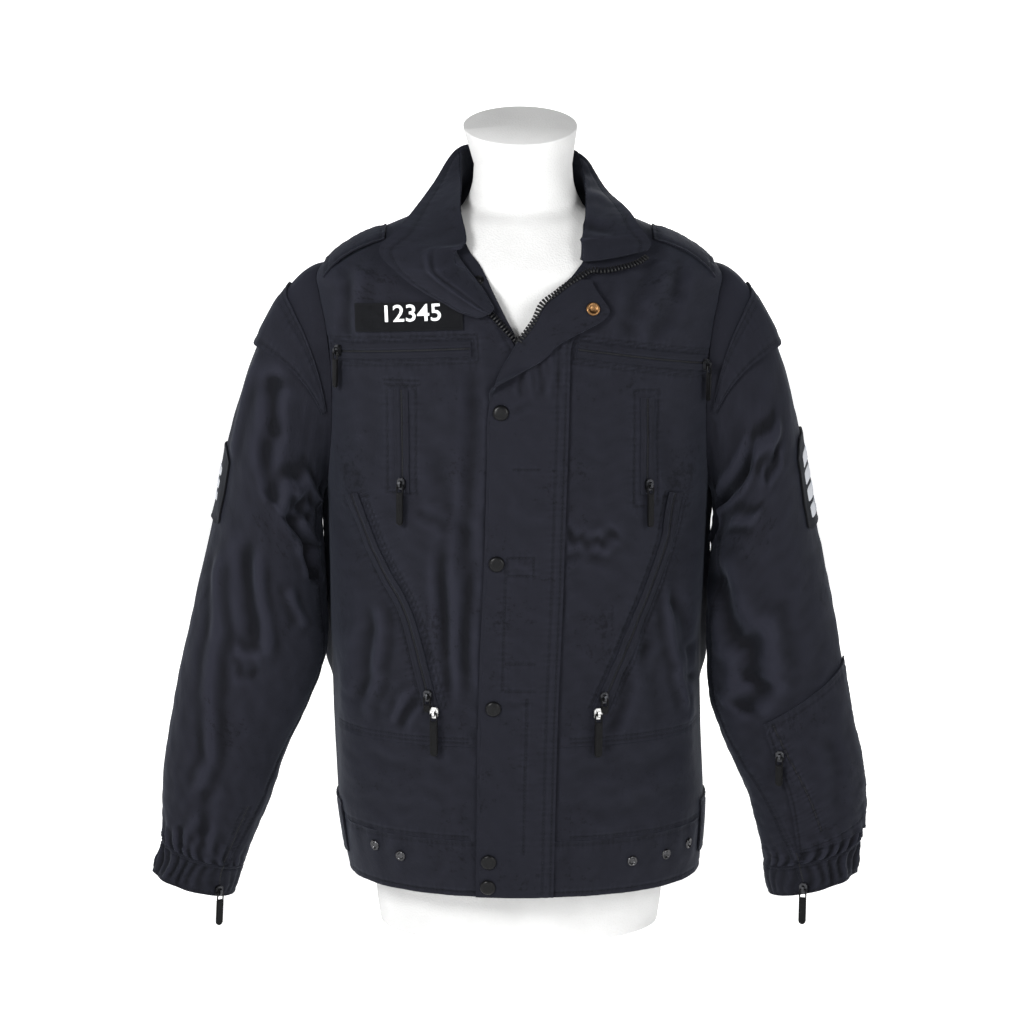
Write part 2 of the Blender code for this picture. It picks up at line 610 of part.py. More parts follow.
def collar_guides():
    """Places along the collar with its seam, roll and edge points."""
    def from_front(row):
        place, seam_x, seam_z, roll_x, roll_z, roll_lift, edge_x, edge_z, edge_lift = row
        seam = front_point(seam_x, seam_z, COLLAR_LIFT)
        roll = front_point(roll_x, roll_z, roll_lift)
        edge = front_point(edge_x, edge_z, edge_lift)
        return place, tuple(seam), tuple(roll), tuple(edge)

    rows = [from_front(row) for row in reversed(COLLAR_LEFT_END)]
    for place, angle, z, roll, edge in COLLAR_STAND:
        rows.append((place, tuple(body_point(angle, z, COLLAR_LIFT)), roll, edge))
    rows += [from_front(row) for row in COLLAR_RIGHT_END]
    places = np.array([row[0] for row in rows])
    return places, np.array([row[1:] for row in rows])


def collar_grid(columns, across):
    """Points over the collar: columns along it, across from the seam over the roll to the edge."""
    places, guides = collar_guides()
    where = spread(places[0], places[-1], columns)
    seam, roll, edge = np.moveaxis(curve_at(places, guides, where), 1, 0)
    rise = np.linalg.norm(roll - seam, axis=1)
    fall = np.linalg.norm(edge - roll, axis=1)
    turn = np.clip(rise / (rise + fall), 0.16, 0.6)[:, None, None]
    t = spread(0, 1, across)[None, :, None]
    seam, roll, edge = seam[:, None], roll[:, None], edge[:, None]
    return (seam * (t - turn) * (t - 1) / turn
            + roll * t * (t - 1) / (turn * (turn - 1))
            + edge * t * (t - turn) / (1 - turn))


def collar():
    points = collar_grid(38, 7)
    toward_neck = np.array((0.0, -0.01, 0.74)) - points
    wall("collar", points, NAVY_LIGHT, DOUBLE_CLOTH, outward=-toward_neck, lift=DOUBLE_CLOTH / 2)


def underlap():
    z = spread(UNDERLAP[0, 0], UNDERLAP[-1, 0], 12)
    outer_x, inner_x = curve_at(UNDERLAP[:, 0], UNDERLAP[:, 1:], z).T
    x = outer_x[:, None] + (inner_x - outer_x)[:, None] * spread(0, 1, 5)
    wall("underlap", front_point(x, z[:, None] + 0 * x), NAVY, lift=-CLOTH - LAY)


def storm_flap():
    z = STORM_FLAP[:, 0]
    base_lift = FLAP_LAY + DOUBLE_CLOTH / 2
    rows = []
    for height, seam_x, fold_x, turned, turn_degrees in STORM_FLAP:
        turn = math.radians(turn_degrees)
        flat = [(x, base_lift) for x in spread(seam_x, fold_x, 5)]
        steps = spread(0, 1, 5)[1:]
        bend = [(fold_x - FLAP_TURN_RADIUS * math.sin(turn * s),
                 base_lift + FLAP_TURN_RADIUS * (1 - math.cos(turn * s))) for s in steps]
        if turn_degrees == 0:
            bend = [(fold_x - 0.0004 * s, base_lift) for s in steps]
        x_end, lift_end = bend[-1]
        tail = [(x_end - turned * s * math.cos(turn), lift_end + turned * s * math.sin(turn))
                for s in spread(0, 1, 5)[1:]]
        rows.append(flat + bend + tail)
    rows = np.array(rows)
    points = front_point(rows[..., 0], z[:, None] + 0 * rows[..., 0], rows[..., 1])
    normals = grid_normals(points, False)
    if np.sum(normals[:, :4] * np.array((0, -1.0, 0))) < 0:
        normals = -normals
    outer = points + normals * DOUBLE_CLOTH / 2
    inner = points - normals * DOUBLE_CLOTH / 2
    vertices, faces = two_sided(outer, inner, False)
    add_object("storm_flap", closed_mesh("storm_flap", vertices, faces), NAVY_LIGHT)


# Sleeves, their caps and cuffs

def side_name(side):
    return "right" if side > 0 else "left"


def sleeve_steps():
    near_armhole = np.array((0.0, 0.07, 0.17, 0.30, 0.46, 0.64, 0.82))
    return np.concatenate((near_armhole, spread(1.0, SLEEVE_END_STEP, 14)))


def sleeve_piece(name, side, first, last, columns):
    steps = sleeve_steps()
    start = curve_at(SLEEVE_SEAMS[side][:, 0], SLEEVE_SEAMS[side][:, first], steps)
    end = curve_at(SLEEVE_SEAMS[side][:, 0], SLEEVE_SEAMS[side][:, last], steps)
    if first > last:
        start = start - 360
    half_gap = 0.16
    angle = (start + half_gap)[:, None] + (end - start - 2 * half_gap)[:, None] * spread(0, 1, columns)
    steps = steps[:, None] + 0 * angle
    normals = sleeve_normal(side, steps, angle)
    wall(name, sleeve_point(side, steps, angle), NAVY, outward=normals, normals=normals)


def cuff(side):
    steps = spread(SLEEVE_END_STEP + CUFF_GAP, 10, 4)
    angle = spread(0, 360, 37)[:-1]
    gather = np.clip(np.cos(np.radians(angle - CUFF_GATHER_MIDDLE)) + 0.35, 0, 1)
    wave = CUFF_WAVE_HEIGHT * gather * np.sin(np.radians(angle) * CUFF_WAVES)
    rows = np.clip(spread(0, 1.6, 4), 0, 1)
    angle, step = np.meshgrid(angle, steps)
    points = sleeve_point(side, step, angle, wave[None, :] * rows[:, None])
    normals = sleeve_normal(side, step, angle)
    wall("cuff_" + side_name(side), points, NAVY_DARK, DOUBLE_CLOTH, closed=True,
         outward=normals, normals=normals)


def cap_flap(side):
    """The band over the sleeve head, loose along its lower edge."""
    angle = spread(-CAP["reach"], CAP["reach"], 17)
    middle = np.cos(np.radians(angle * 88 / CAP["reach"]))
    start = CAP["start"] + CAP["start_rise"] * middle
    depth = CAP["depth"] + CAP["depth_rise"] * middle
    share = spread(0, 1, 4)
    step = start[None, :] + depth[None, :] * share[:, None]
    stand = SLEEVE_LAY + CLOTH + CAP["stand"] * share[:, None] * middle[None, :]
    points = sleeve_point(side, step, np.broadcast_to(angle, step.shape))
    centre = np.array((side * 0.225, 0.0, 0.58))
    wall("sleeve_cap_" + side_name(side), points, NAVY_LIGHT, outward=points - centre, lift=stand)


def shoulder_loop(side):
    x = side * spread(SHOULDER_LOOP["inner_x"], SHOULDER_LOOP["outer_x"], 7)
    y = spread(SHOULDER_LOOP["front_y"], SHOULDER_LOOP["back_y"], 5)
    arch = SHOULDER_LOOP["arch"] * np.sin(spread(0, math.pi, 7))
    points = shoulder_point(x[None, :], y[:, None])
    up = np.zeros_like(points)
    up[..., 2] = 1
    lift = LAY + CLOTH + arch[None, :] + 0 * y[:, None]
    wall("shoulder_loop_" + side_name(side), points, NAVY_LIGHT, outward=up, lift=lift)


def forearm_pocket():
    side = 1
    angle = spread(FOREARM_POCKET["front"], FOREARM_POCKET["outside"], 11)
    share = spread(0, 1, 6)
    top = FOREARM_POCKET["top"] - (FOREARM_POCKET["front"] - angle) * FOREARM_POCKET["fall"]
    step = top[None, :] + (FOREARM_POCKET["bottom"] - top)[None, :] * share[:, None]
    points = sleeve_point(side, step, np.broadcast_to(angle, step.shape))
    centre = sleeve_base(side, step, 0.0).mean(axis=(0, 1)) * 0.5
    centre = centre + sleeve_base(side, step, 180.0).mean(axis=(0, 1)) * 0.5
    wall("forearm_pocket", points, NAVY_LIGHT, outward=points - centre, lift=SLEEVE_LAY + CLOTH)


def arm_patch(name, side, first_angle, last_angle, first_step, last_step):
    """A sewn patch with rounded corners on the outside of the upper sleeve."""
    angle_span = spread(first_angle, last_angle, 6)
    share = spread(-1, 1, 5)
    half = (last_step - first_step) / 2
    middle = (first_step + last_step) / 2
    edge = np.abs(np.linspace(-1, 1, 6))
    reach = 1 - 0.16 * np.clip((edge - 0.6) / 0.4, 0, 1)**2
    step = middle + half * share[:, None] * reach[None, :]
    points = sleeve_point(side, step, np.broadcast_to(angle_span, step.shape))
    centre = np.array((side * 0.255, 0.0, 0.47))
    wall(name, points, BLACK, PATCH_THICKNESS, outward=points - centre, lift=SLEEVE_LAY + PATCH_THICKNESS)


# Pieces laid on the fronts

def laid_strip(name, start, end, half_breadth, colour, thickness=STRIP, along=9):
    """A strip from start to end, each (x, z), lying on the front."""
    start, end = np.array(start), np.array(end)
    run = end - start
    side = np.array((-run[1], run[0])) / np.linalg.norm(run)
    t = spread(0, 1, along)[None, :]
    s = spread(-1, 1, 3)[:, None]
    x = start[0] + run[0] * t + side[0] * half_breadth * s
    z = start[1] + run[1] * t + side[1] * half_breadth * s
    wall(name, front_point(x, z), colour, thickness, lift=LAY + thickness)


def laid_route(name, route, half_breadth, colour, thickness=STRIP, along=15):
    """A strip along a smooth route of (x, z) points, lying on the front."""
    route = np.array(route)
    lengths = np.concatenate(((0,), np.cumsum(np.hypot(*np.diff(route, axis=0).T))))
    middle = curve_at(lengths, route, spread(0, lengths[-1], along))
    run = np.gradient(middle, axis=0)
    run /= np.linalg.norm(run, axis=1, keepdims=True)
    side = np.stack((-run[:, 1], run[:, 0]), -1)
    s = spread(-1, 1, 3)[:, None, None]
    places = middle[None] + side[None] * half_breadth * s
    wall(name, front_point(places[..., 0], places[..., 1]), colour, thickness, lift=BIAS_LAY + thickness)


def side_tab(side):
    angle = side * spread(SIDE_TAB["front"], SIDE_TAB["back"], 4)
    z = spread(SIDE_TAB["low"], SIDE_TAB["high"], 4)
    points = body_point(angle[None, :], z[:, None])
    wall("side_tab_" + side_name(side), points, NAVY_LIGHT, lift=BAND_LIFT + LAY + CLOTH)


# Hard pieces

def turned(name, profile, place, axis, colour, segments=14, roughness=0.35, metallic=0.0):
    """A round piece: profile rows are (radius, height) from its base to its top."""
    frame = Vector(axis).to_track_quat("Z", "Y").to_matrix().to_4x4()
    vertices = [Vector((0, 0, profile[0][1]))]
    for radius, height in profile:
        for i in range(segments):
            turn = 2 * math.pi * i / segments
            vertices.append(Vector((radius * math.cos(turn), radius * math.sin(turn), height)))
    vertices.append(Vector((0, 0, profile[-1][1])))
    faces = []
    top = len(vertices) - 1
    last_ring = 1 + (len(profile) - 1) * segments
    for i in range(segments):
        j = (i + 1) % segments
        faces.append((0, 1 + j, 1 + i))
        faces.append((top, last_ring + i, last_ring + j))
        for ring in range(len(profile) - 1):
            base = 1 + ring * segments
            faces.append((base + i, base + j, base + segments + j, base + segments + i))
    points = np.array([tuple(frame @ v) for v in vertices])
    piece = add_object(name, closed_mesh(name, points, faces), colour, roughness, metallic)
    piece.location = place


SNAP_PROFILE = [(0.0074, 0.0), (0.0080, 0.0008), (0.0068, 0.0024), (0.0036, 0.0032)]
SOCKET_PROFILE = [(0.0064, 0.0), (0.0068, 0.0008), (0.0060, 0.0017), (0.0046, 0.0018), (0.0036, 0.0010),
                  (0.0030, 0.0009)]
# Snaps on the storm flap: x, z
SNAPS = [(-0.0182, 0.5580), (-0.0225, 0.4080), (-0.0260, 0.2610), (-0.0307, 0.1010), (-0.0317, 0.0740)]
SOCKET = (0.0715, 0.6570)
SNAP_LAY = 0.0004         # a snap's base over its cloth


def front_frame(x, z, lift):
    """Place and outward direction on the front."""
    place = front_point(x, z, lift)
    normal = body_normal(front_angle(x, z), np.float64(z))
    return Vector(place), Vector(normal)


def snaps():
    for number, (x, z) in enumerate(SNAPS, 1):
        place, normal = front_frame(x, z, FLAP_LAY + DOUBLE_CLOTH + SNAP_LAY)
        turned("flap_snap_%d" % number, SNAP_PROFILE, place, normal, BLACK, roughness=0.3, metallic=0.3)
    top_layer = FLAP_LAY + DOUBLE_CLOTH + 2 * FLAP_TURN_RADIUS
    place, normal = front_frame(*SOCKET, top_layer + SNAP_LAY)
    turned("flap_socket", SOCKET_PROFILE, place, normal, BRASS, roughness=0.25, metallic=1.0)


# A zip's slider and its pull, both measured from the middle of the pull's bar.
# Local axes: X along the bar, Y down the pull, Z away from the cloth.
SLIDER = dict(half_width=0.0042, above=0.0062, below=0.0050, base=-0.0052, top=-0.0014)
BRIDGE = dict(half_width=0.0011, above=0.0036, below=0.0030, hole_above=0.0022, hole_below=0.0016,
              hole_base=-0.0013, hole_top=0.0013, top=0.0024)
PULL_BAR_RADIUS = 0.0008
PULL_EYE = dict(half_width=0.0040, inner=0.0022, length=0.0090, foot=0.0022)
PULL_THICKNESS = 0.0022
PULL_ROUND = 0.0040       # length of a pull's rounded end
BAR_HEIGHT = 0.0056       # from the surface beneath to the middle of a pull's bar
STRAIGHT_TOP = LAY + STRIP      # outer side of the strips along the straight zips
SLANT_TOP = BIAS_LAY + STRIP    # and along the slanted ones
# Zips on the fronts: name, x, z, pull length, pull half width, top of the strip beneath
FRONT_ZIPS = [
    ("chest_left", -0.1800, 0.6140, 0.037, 0.0036, STRAIGHT_TOP),
    ("chest_right", 0.1860, 0.5990, 0.036, 0.0036, STRAIGHT_TOP),
    ("vertical_left", -0.1160, 0.4850, 0.041, 0.0036, STRAIGHT_TOP),
    ("vertical_right", 0.1275, 0.4830, 0.042, 0.0036, STRAIGHT_TOP),
    ("diagonal_left_upper", -0.0905, 0.2720, 0.016, 0.0034, SLANT_TOP),
    ("diagonal_left_lower", -0.0840, 0.2550, 0.044, 0.0040, SLANT_TOP),
    ("diagonal_right_upper", 0.0835, 0.2700, 0.016, 0.0034, SLANT_TOP),
    ("diagonal_right_lower", 0.0775, 0.2540, 0.044, 0.0040, SLANT_TOP),
]
# Zips on the sleeves: name, side, step, angle, pull length, height of the cloth beneath
SLEEVE_ZIPS = [
    ("forearm", 1, 5.20, 106.0, 0.030, SLEEVE_LAY + CLOTH),
    ("cuff_left", -1, 9.75, 128.0, 0.036, 0.0006),
    ("cuff_right", 1, 9.75, 106.0, 0.036, 0.0002),
]


def box_mesh(low, high):
    mesh = bpy.data.meshes.new("block")
    body = bmesh.new()
    bmesh.ops.create_cube(body, size=1)
    for vertex in body.verts:
        for axis in range(3):
            share = vertex.co[axis] + 0.5
            vertex.co[axis] = low[axis] + (high[axis] - low[axis]) * share
    body.to_mesh(mesh)
    body.free()
    return mesh


def joined_by(base_mesh, other_mesh, operation):
    """The Boolean of two meshes, read back as a mesh of its own."""
    base = bpy.data.objects.new("base", base_mesh)
    other = bpy.data.objects.new("other", other_mesh)
    for piece in (base, other):
        bpy.context.scene.collection.objects.link(piece)
    cut = base.modifiers.new("join", "BOOLEAN")
    cut.operation = operation
    cut.object = other
    bpy.context.view_layer.update()
    graph = bpy.context.evaluated_depsgraph_get()
    result = bpy.data.meshes.new_from_object(base.evaluated_get(graph))
    bpy.data.objects.remove(base)
    bpy.data.objects.remove(other)
    return result


def slider_mesh():
    body = box_mesh((-SLIDER["half_width"], -SLIDER["above"], SLIDER["base"]),
                    (SLIDER["half_width"], SLIDER["below"], SLIDER["top"]))
    nose = bmesh.new()
    nose.from_mesh(body)
    upright = [edge for edge in nose.edges
               if abs(edge.verts[0].co.z - edge.verts[1].co.z) > 0.001]
    bmesh.ops.bevel(nose, geom=upright, offset=0.0016, segments=1, affect="EDGES")
    nose.to_mesh(body)
    nose.free()
    bridge = box_mesh((-BRIDGE["half_width"], -BRIDGE["above"], SLIDER["top"] - 0.0008),
                      (BRIDGE["half_width"], BRIDGE["below"], BRIDGE["top"]))
    hole = box_mesh((-0.003, -BRIDGE["hole_above"], BRIDGE["hole_base"]),
                    (0.003, BRIDGE["hole_below"], BRIDGE["hole_top"]))
    bridge = joined_by(bridge, hole, "DIFFERENCE")
    return joined_by(body, bridge, "UNION")


def pull_mesh(length, half_width):
    """A flat tab hanging from an eye whose bar passes under the slider's bridge."""
    r = PULL_BAR_RADIUS
    eye = PULL_EYE
    frame = box_mesh((-eye["half_width"], -r, -r), (eye["half_width"], eye["length"], r))
    window = box_mesh((-eye["inner"], r, -0.01), (eye["inner"], eye["length"] - eye["foot"], 0.01))
    frame = joined_by(frame, window, "DIFFERENCE")
    tab = bmesh.new()
    start = eye["length"] - eye["foot"] / 2
    round_start = length - PULL_ROUND
    outline = [(-half_width, start), (half_width, start), (half_width, round_start)]
    for i in range(1, 4):
        turn = math.pi * i / 4
        outline.append((half_width * math.cos(turn), round_start + PULL_ROUND * math.sin(turn)))
    outline.append((-half_width, round_start))
    low = [tab.verts.new((x, y, -PULL_THICKNESS / 2)) for x, y in outline]
    face = tab.faces.new(low)
    raised = bmesh.ops.extrude_face_region(tab, geom=[face])
    for vertex in (v for v in raised["geom"] if isinstance(v, bmesh.types.BMVert)):
        vertex.co.z = PULL_THICKNESS / 2
    bmesh.ops.recalc_face_normals(tab, faces=tab.faces)
    tab_mesh = bpy.data.meshes.new("tab")
    tab.to_mesh(tab_mesh)
    tab.free()
    return joined_by(frame, tab_mesh, "UNION")


def surface_matrix(place, normal, down):
    """Local X along the bar, Y down along the cloth, Z out of it."""
    out = Vector(normal).normalized()
    down = Vector(down)
    down = (down - out * down.dot(out)).normalized()
    across = down.cross(out).normalized()
    matrix = Matrix.Identity(4)
    for column, axis in enumerate((across, down, out)):
        for row in range(3):
            matrix[row][column] = axis[row]
    matrix.translation = Vector(place)
    return matrix


def zip_fitting(name, place, normal, length, half_width, slider):
    """A slider and its pull, which hangs straight down along the cloth."""
    matrix = surface_matrix(place, normal, (0, 0, -1))
    body = add_object("slider_" + name, slider.copy(), DARK_METAL, 0.4, 0.9)
    body.matrix_world = matrix
    tab = add_object("pull_" + name, pull_mesh(length, half_width), BLACK, 0.45)
    tab.matrix_world = matrix


def zip_fittings():
    slider = slider_mesh()
    for name, x, z, length, half_width, beneath in FRONT_ZIPS:
        place, normal = front_frame(x, z, beneath + BAR_HEIGHT)
        zip_fitting(name, place, normal, length, half_width, slider)
    for name, side, step, angle, length, beneath in SLEEVE_ZIPS:
        place = sleeve_point(side, step, angle, beneath + BAR_HEIGHT)
        normal = sleeve_normal(side, np.float64(step), np.float64(angle))
        zip_fitting(name, place, normal, length, 0.0038, slider)


# The dress form

def form_rows():
    """Section rows from the base to the neck: z, half_width, front, back, middle, power."""
    rows = [tuple(row) for row in FORM_TRUNK]
    inset = FORM_SHOULDER_INSET
    for z in FORM_SHOULDER_ROWS:
        width, front, back, middle, power = section_at(BODY, np.float64(z + FORM_SHOULDER_DROP))
        half_width = min(float(width), FORM_SHOULDER_HALF_WIDTH)
        rows.append((z, half_width, float(front) - CLOTH - inset, float(back) - CLOTH - inset, 0.0,
                     float(power)))
    rows += [tuple(row) for row in FORM_NECK]
    return np.array(rows)


def dress_form():
    table = form_rows()
    angle = spread(0, 360, 29)[:-1]
    heights = np.concatenate((spread(0, 0.640, 8), (0.670,), FORM_SHOULDER_ROWS, FORM_NECK[:, 0]))
    rings = [ring_point(table, angle, np.full_like(angle, z)) for z in heights]
    turn = np.radians(angle)
    depth = np.where(np.cos(turn) >= 0, NECK_TOP["front"], NECK_TOP["back"])
    top_y = -depth * np.cos(turn)
    top_x = NECK_TOP["middle"] + NECK_TOP["half_width"] * np.sin(turn)
    top = np.stack((top_x, top_y, NECK_TOP["middle_z"] + NECK_TOP["slope"] * top_y), -1)
    rings.append(rings[-1] * 0.45 + top * 0.55)
    rings.append(top)
    grid = np.array(rings)
    count = len(angle)
    vertices = [np.array((0.0, 0.0, 0.0))] + list(grid.reshape(-1, 3)) + [top.mean(axis=0)]
    faces = []
    last = 1 + (len(rings) - 1) * count
    for i in range(count):
        j = (i + 1) % count
        faces.append((0, 1 + i, 1 + j))
        faces.append((len(vertices) - 1, last + j, last + i))
        for ring in range(len(rings) - 1):
            base = 1 + ring * count
            faces.append((base + i, base + count + i, base + count + j, base + j))
    add_object("dress_form", closed_mesh("dress_form", np.array(vertices), faces), FOAM, 0.9)


# The whole garment

# Start and end of the name tape's middle line as (x, z), and its half height
NAME_TAPE = ((-0.1620, 0.6480), (-0.0560, 0.6525), 0.0140)
# Strips along the pocket zips: name, then points of the zip's line as (x, z)
CHEST_ZIP_STRIPS = [
    ("chest_pocket_left", (-0.1880, 0.6135), (-0.0480, 0.6205)),
    ("chest_pocket_right", (0.0580, 0.6195), (0.1880, 0.6010)),
]
VERTICAL_STRIPS = [
    ("upright_pocket_left", (-0.1170, 0.5790), (-0.1160, 0.4760)),
    ("upright_pocket_right", (0.1270, 0.5700), (0.1275, 0.4740)),
]
DIAGONAL_ROUTES = [
    ("slant_pocket_left", [(-0.1690, 0.4700), (-0.1560, 0.4350), (-0.1400, 0.4000), (-0.1200, 0.3650),
                           (-0.0870, 0.2560)]),
    ("slant_pocket_right", [(0.1580, 0.4720), (0.1490, 0.4250), (0.1340, 0.3800), (0.1130, 0.3300),
                            (0.0800, 0.2560)]),
]


def main():
    for piece in list(bpy.data.objects):
        bpy.data.objects.remove(piece)
    dress_form()
    half = SEAM_GAP / 2
    for side in (-1, 1):
        name = side_name(side)
        upper_rows = (WAIST_SEAM_Z + half,) + FRONT_HEIGHTS + (SHOULDER_END_Z,)
        front_panel("front_" + name, side, upper_rows, 11)
        lower_rows = spread(BAND_SEAM_Z + half, WAIST_SEAM_Z - half, 4)
        front_panel("front_lower_" + name, side, lower_rows, 11)
        sleeve_piece("sleeve_top_" + name, side, 2, 1, 13)
        sleeve_piece("sleeve_under_" + name, side, 1, 2, 5)
        cuff(side)
        cap_flap(side)
        shoulder_loop(side)
        side_tab(side)
    back_panel()
    hem_band()
    collar()
    underlap()
    storm_flap()
    forearm_pocket()
    for patch in PATCHES:
        arm_patch(*patch)
    laid_strip("name_tape", *NAME_TAPE, BLACK, 0.0016, 10)
    for name, start, end in CHEST_ZIP_STRIPS:
        laid_strip(name, start, end, 0.0075, NAVY_DARK, along=11)
    for name, start, end in VERTICAL_STRIPS:
        laid_strip(name, start, end, 0.0068, NAVY_DARK, along=8)
    for name, route in DIAGONAL_ROUTES:
        laid_route(name, route, 0.0070, NAVY_DARK)
    snaps()
    zip_fittings()


main()
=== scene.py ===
"""Looks of the duty jacket on its dress form: cloth with creases and sewing, zips, snaps and light.

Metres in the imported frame: +Z up, front towards -Y. "left" lies towards -X, as seen from the front.
The surfaces are the solids' own, worked out finely, so each piece lies where its solid is.
"""

import math

import bmesh
import bpy
import numpy as np
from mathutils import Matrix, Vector


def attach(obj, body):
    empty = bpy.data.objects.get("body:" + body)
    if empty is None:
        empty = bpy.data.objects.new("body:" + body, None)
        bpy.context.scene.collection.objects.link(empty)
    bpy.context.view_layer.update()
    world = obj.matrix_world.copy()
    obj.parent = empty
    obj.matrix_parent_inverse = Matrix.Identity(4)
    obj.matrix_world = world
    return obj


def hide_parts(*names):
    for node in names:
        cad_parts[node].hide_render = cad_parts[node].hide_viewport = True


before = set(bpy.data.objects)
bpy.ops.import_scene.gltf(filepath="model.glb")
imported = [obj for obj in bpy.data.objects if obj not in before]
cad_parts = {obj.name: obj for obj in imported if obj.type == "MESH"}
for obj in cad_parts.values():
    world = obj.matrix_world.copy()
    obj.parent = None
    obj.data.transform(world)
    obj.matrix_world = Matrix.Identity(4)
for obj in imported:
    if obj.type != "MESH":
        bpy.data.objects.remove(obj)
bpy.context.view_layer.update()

# Cloth and gaps, as in the solids
CLOTH = 0.0018
DOUBLE_CLOTH = 0.0020
STRIP = 0.0013
SEAM_GAP = 0.0003
LAY = 0.0006
SLEEVE_LAY = 0.0010
FLAP_LAY = 0.0010
BIAS_LAY = 0.0014
BAND_LIFT = 0.0002
COLLAR_LIFT = 0.0028
HEM_Z = 0.062
BAND_SEAM_Z = 0.122
WAIST_SEAM_Z = 0.220
ARMPIT_Z = 0.467
ARMHOLE_TOP_Z = 0.7005
SHOULDER_END_Z = 0.752

# Body sections: z, half_width, front, back, middle, power
BODY = np.array([
    (0.050, 0.185, 0.137, 0.127, 0.006, 2.25),
    (0.075, 0.188, 0.140, 0.129, 0.005, 2.25),
    (0.122, 0.193, 0.144, 0.133, 0.003, 2.25),
    (0.170, 0.195, 0.146, 0.135, 0.000, 2.25),
    (0.220, 0.195, 0.147, 0.135, -0.002, 2.25),
    (0.320, 0.195, 0.149, 0.135, -0.003, 2.25),
    (0.420, 0.197, 0.149, 0.134, -0.002, 2.25),
    (0.500, 0.200, 0.147, 0.132, -0.001, 2.25),
    (0.580, 0.206, 0.141, 0.129, 0.000, 2.25),
    (0.640, 0.211, 0.130, 0.123, 0.000, 2.25),
    (0.670, 0.213, 0.120, 0.117, 0.000, 2.25),
    (0.690, 0.211, 0.108, 0.110, 0.000, 2.25),
    (0.705, 0.196, 0.096, 0.103, 0.000, 2.20),
    (0.720, 0.172, 0.083, 0.096, 0.000, 2.15),
    (0.735, 0.143, 0.070, 0.089, 0.000, 2.10),
    (0.748, 0.112, 0.058, 0.082, 0.000, 2.05),
    (0.757, 0.090, 0.047, 0.076, 0.000, 2.00),
])

# Form sections below the shoulders: z, half_width, front, back, middle, power
FORM_TRUNK = np.array([
    (0.000, 0.148, 0.098, 0.092, 0.000, 2.2),
    (0.030, 0.152, 0.102, 0.096, 0.000, 2.2),
    (0.120, 0.146, 0.101, 0.095, 0.000, 2.2),
    (0.220, 0.138, 0.099, 0.091, 0.000, 2.2),
    (0.330, 0.142, 0.107, 0.095, 0.000, 2.2),
    (0.440, 0.156, 0.119, 0.105, 0.000, 2.2),
    (0.540, 0.168, 0.126, 0.112, 0.000, 2.2),
    (0.600, 0.176, 0.124, 0.113, 0.001, 2.2),
    (0.640, 0.182, 0.116, 0.111, 0.001, 2.2),
    (0.670, 0.186, 0.105, 0.106, 0.001, 2.2),
])
# Form sections at the shoulders follow the jacket this far down and in
FORM_SHOULDER_DROP = 0.0030
FORM_SHOULDER_INSET = 0.0015
FORM_SHOULDER_ROWS = (0.690, 0.703, 0.716, 0.729, 0.741)
FORM_SHOULDER_HALF_WIDTH = 0.1875
# Form sections of the neck: z, half_width, front, back, middle, power
FORM_NECK = np.array([
    (0.7530, 0.070, 0.0450, 0.0640, 0.003, 2.0),
    (0.7640, 0.059, 0.0460, 0.0580, 0.004, 2.0),
    (0.7780, 0.053, 0.0485, 0.0560, 0.004, 2.0),
    (0.8000, 0.0505, 0.0510, 0.0540, 0.004, 2.0),
])
NECK_TOP = dict(middle_z=0.8400, slope=0.364, half_width=0.0590, front=0.0560, back=0.0540, middle=0.001)

# Soft troughs (depth below zero) and ridges in the body cloth, as lines on the unrolled side:
# angle_1, z_1, angle_2, z_2, half_breadth, height
BODY_FOLDS = np.array([
    (-72, 0.455, -40, 0.330, 0.024, -0.0045),
    (-60, 0.330, -66, 0.240, 0.022, 0.0035),
    (-78, 0.300, -82, 0.160, 0.024, -0.0035),
    (70, 0.450, 44, 0.320, 0.024, -0.0045),
    (62, 0.300, 68, 0.225, 0.022, 0.0035),
    (80, 0.330, 78, 0.170, 0.024, -0.0035),
    (118, 0.450, 150, 0.330, 0.028, -0.0050),
    (-118, 0.450, -148, 0.310, 0.028, -0.0050),
    (160, 0.300, 150, 0.150, 0.030, 0.0040),
    (-165, 0.290, -152, 0.140, 0.030, 0.0040),
    (128, 0.260, 112, 0.140, 0.028, -0.0040),
    (-130, 0.250, -114, 0.140, 0.028, -0.0040),
])

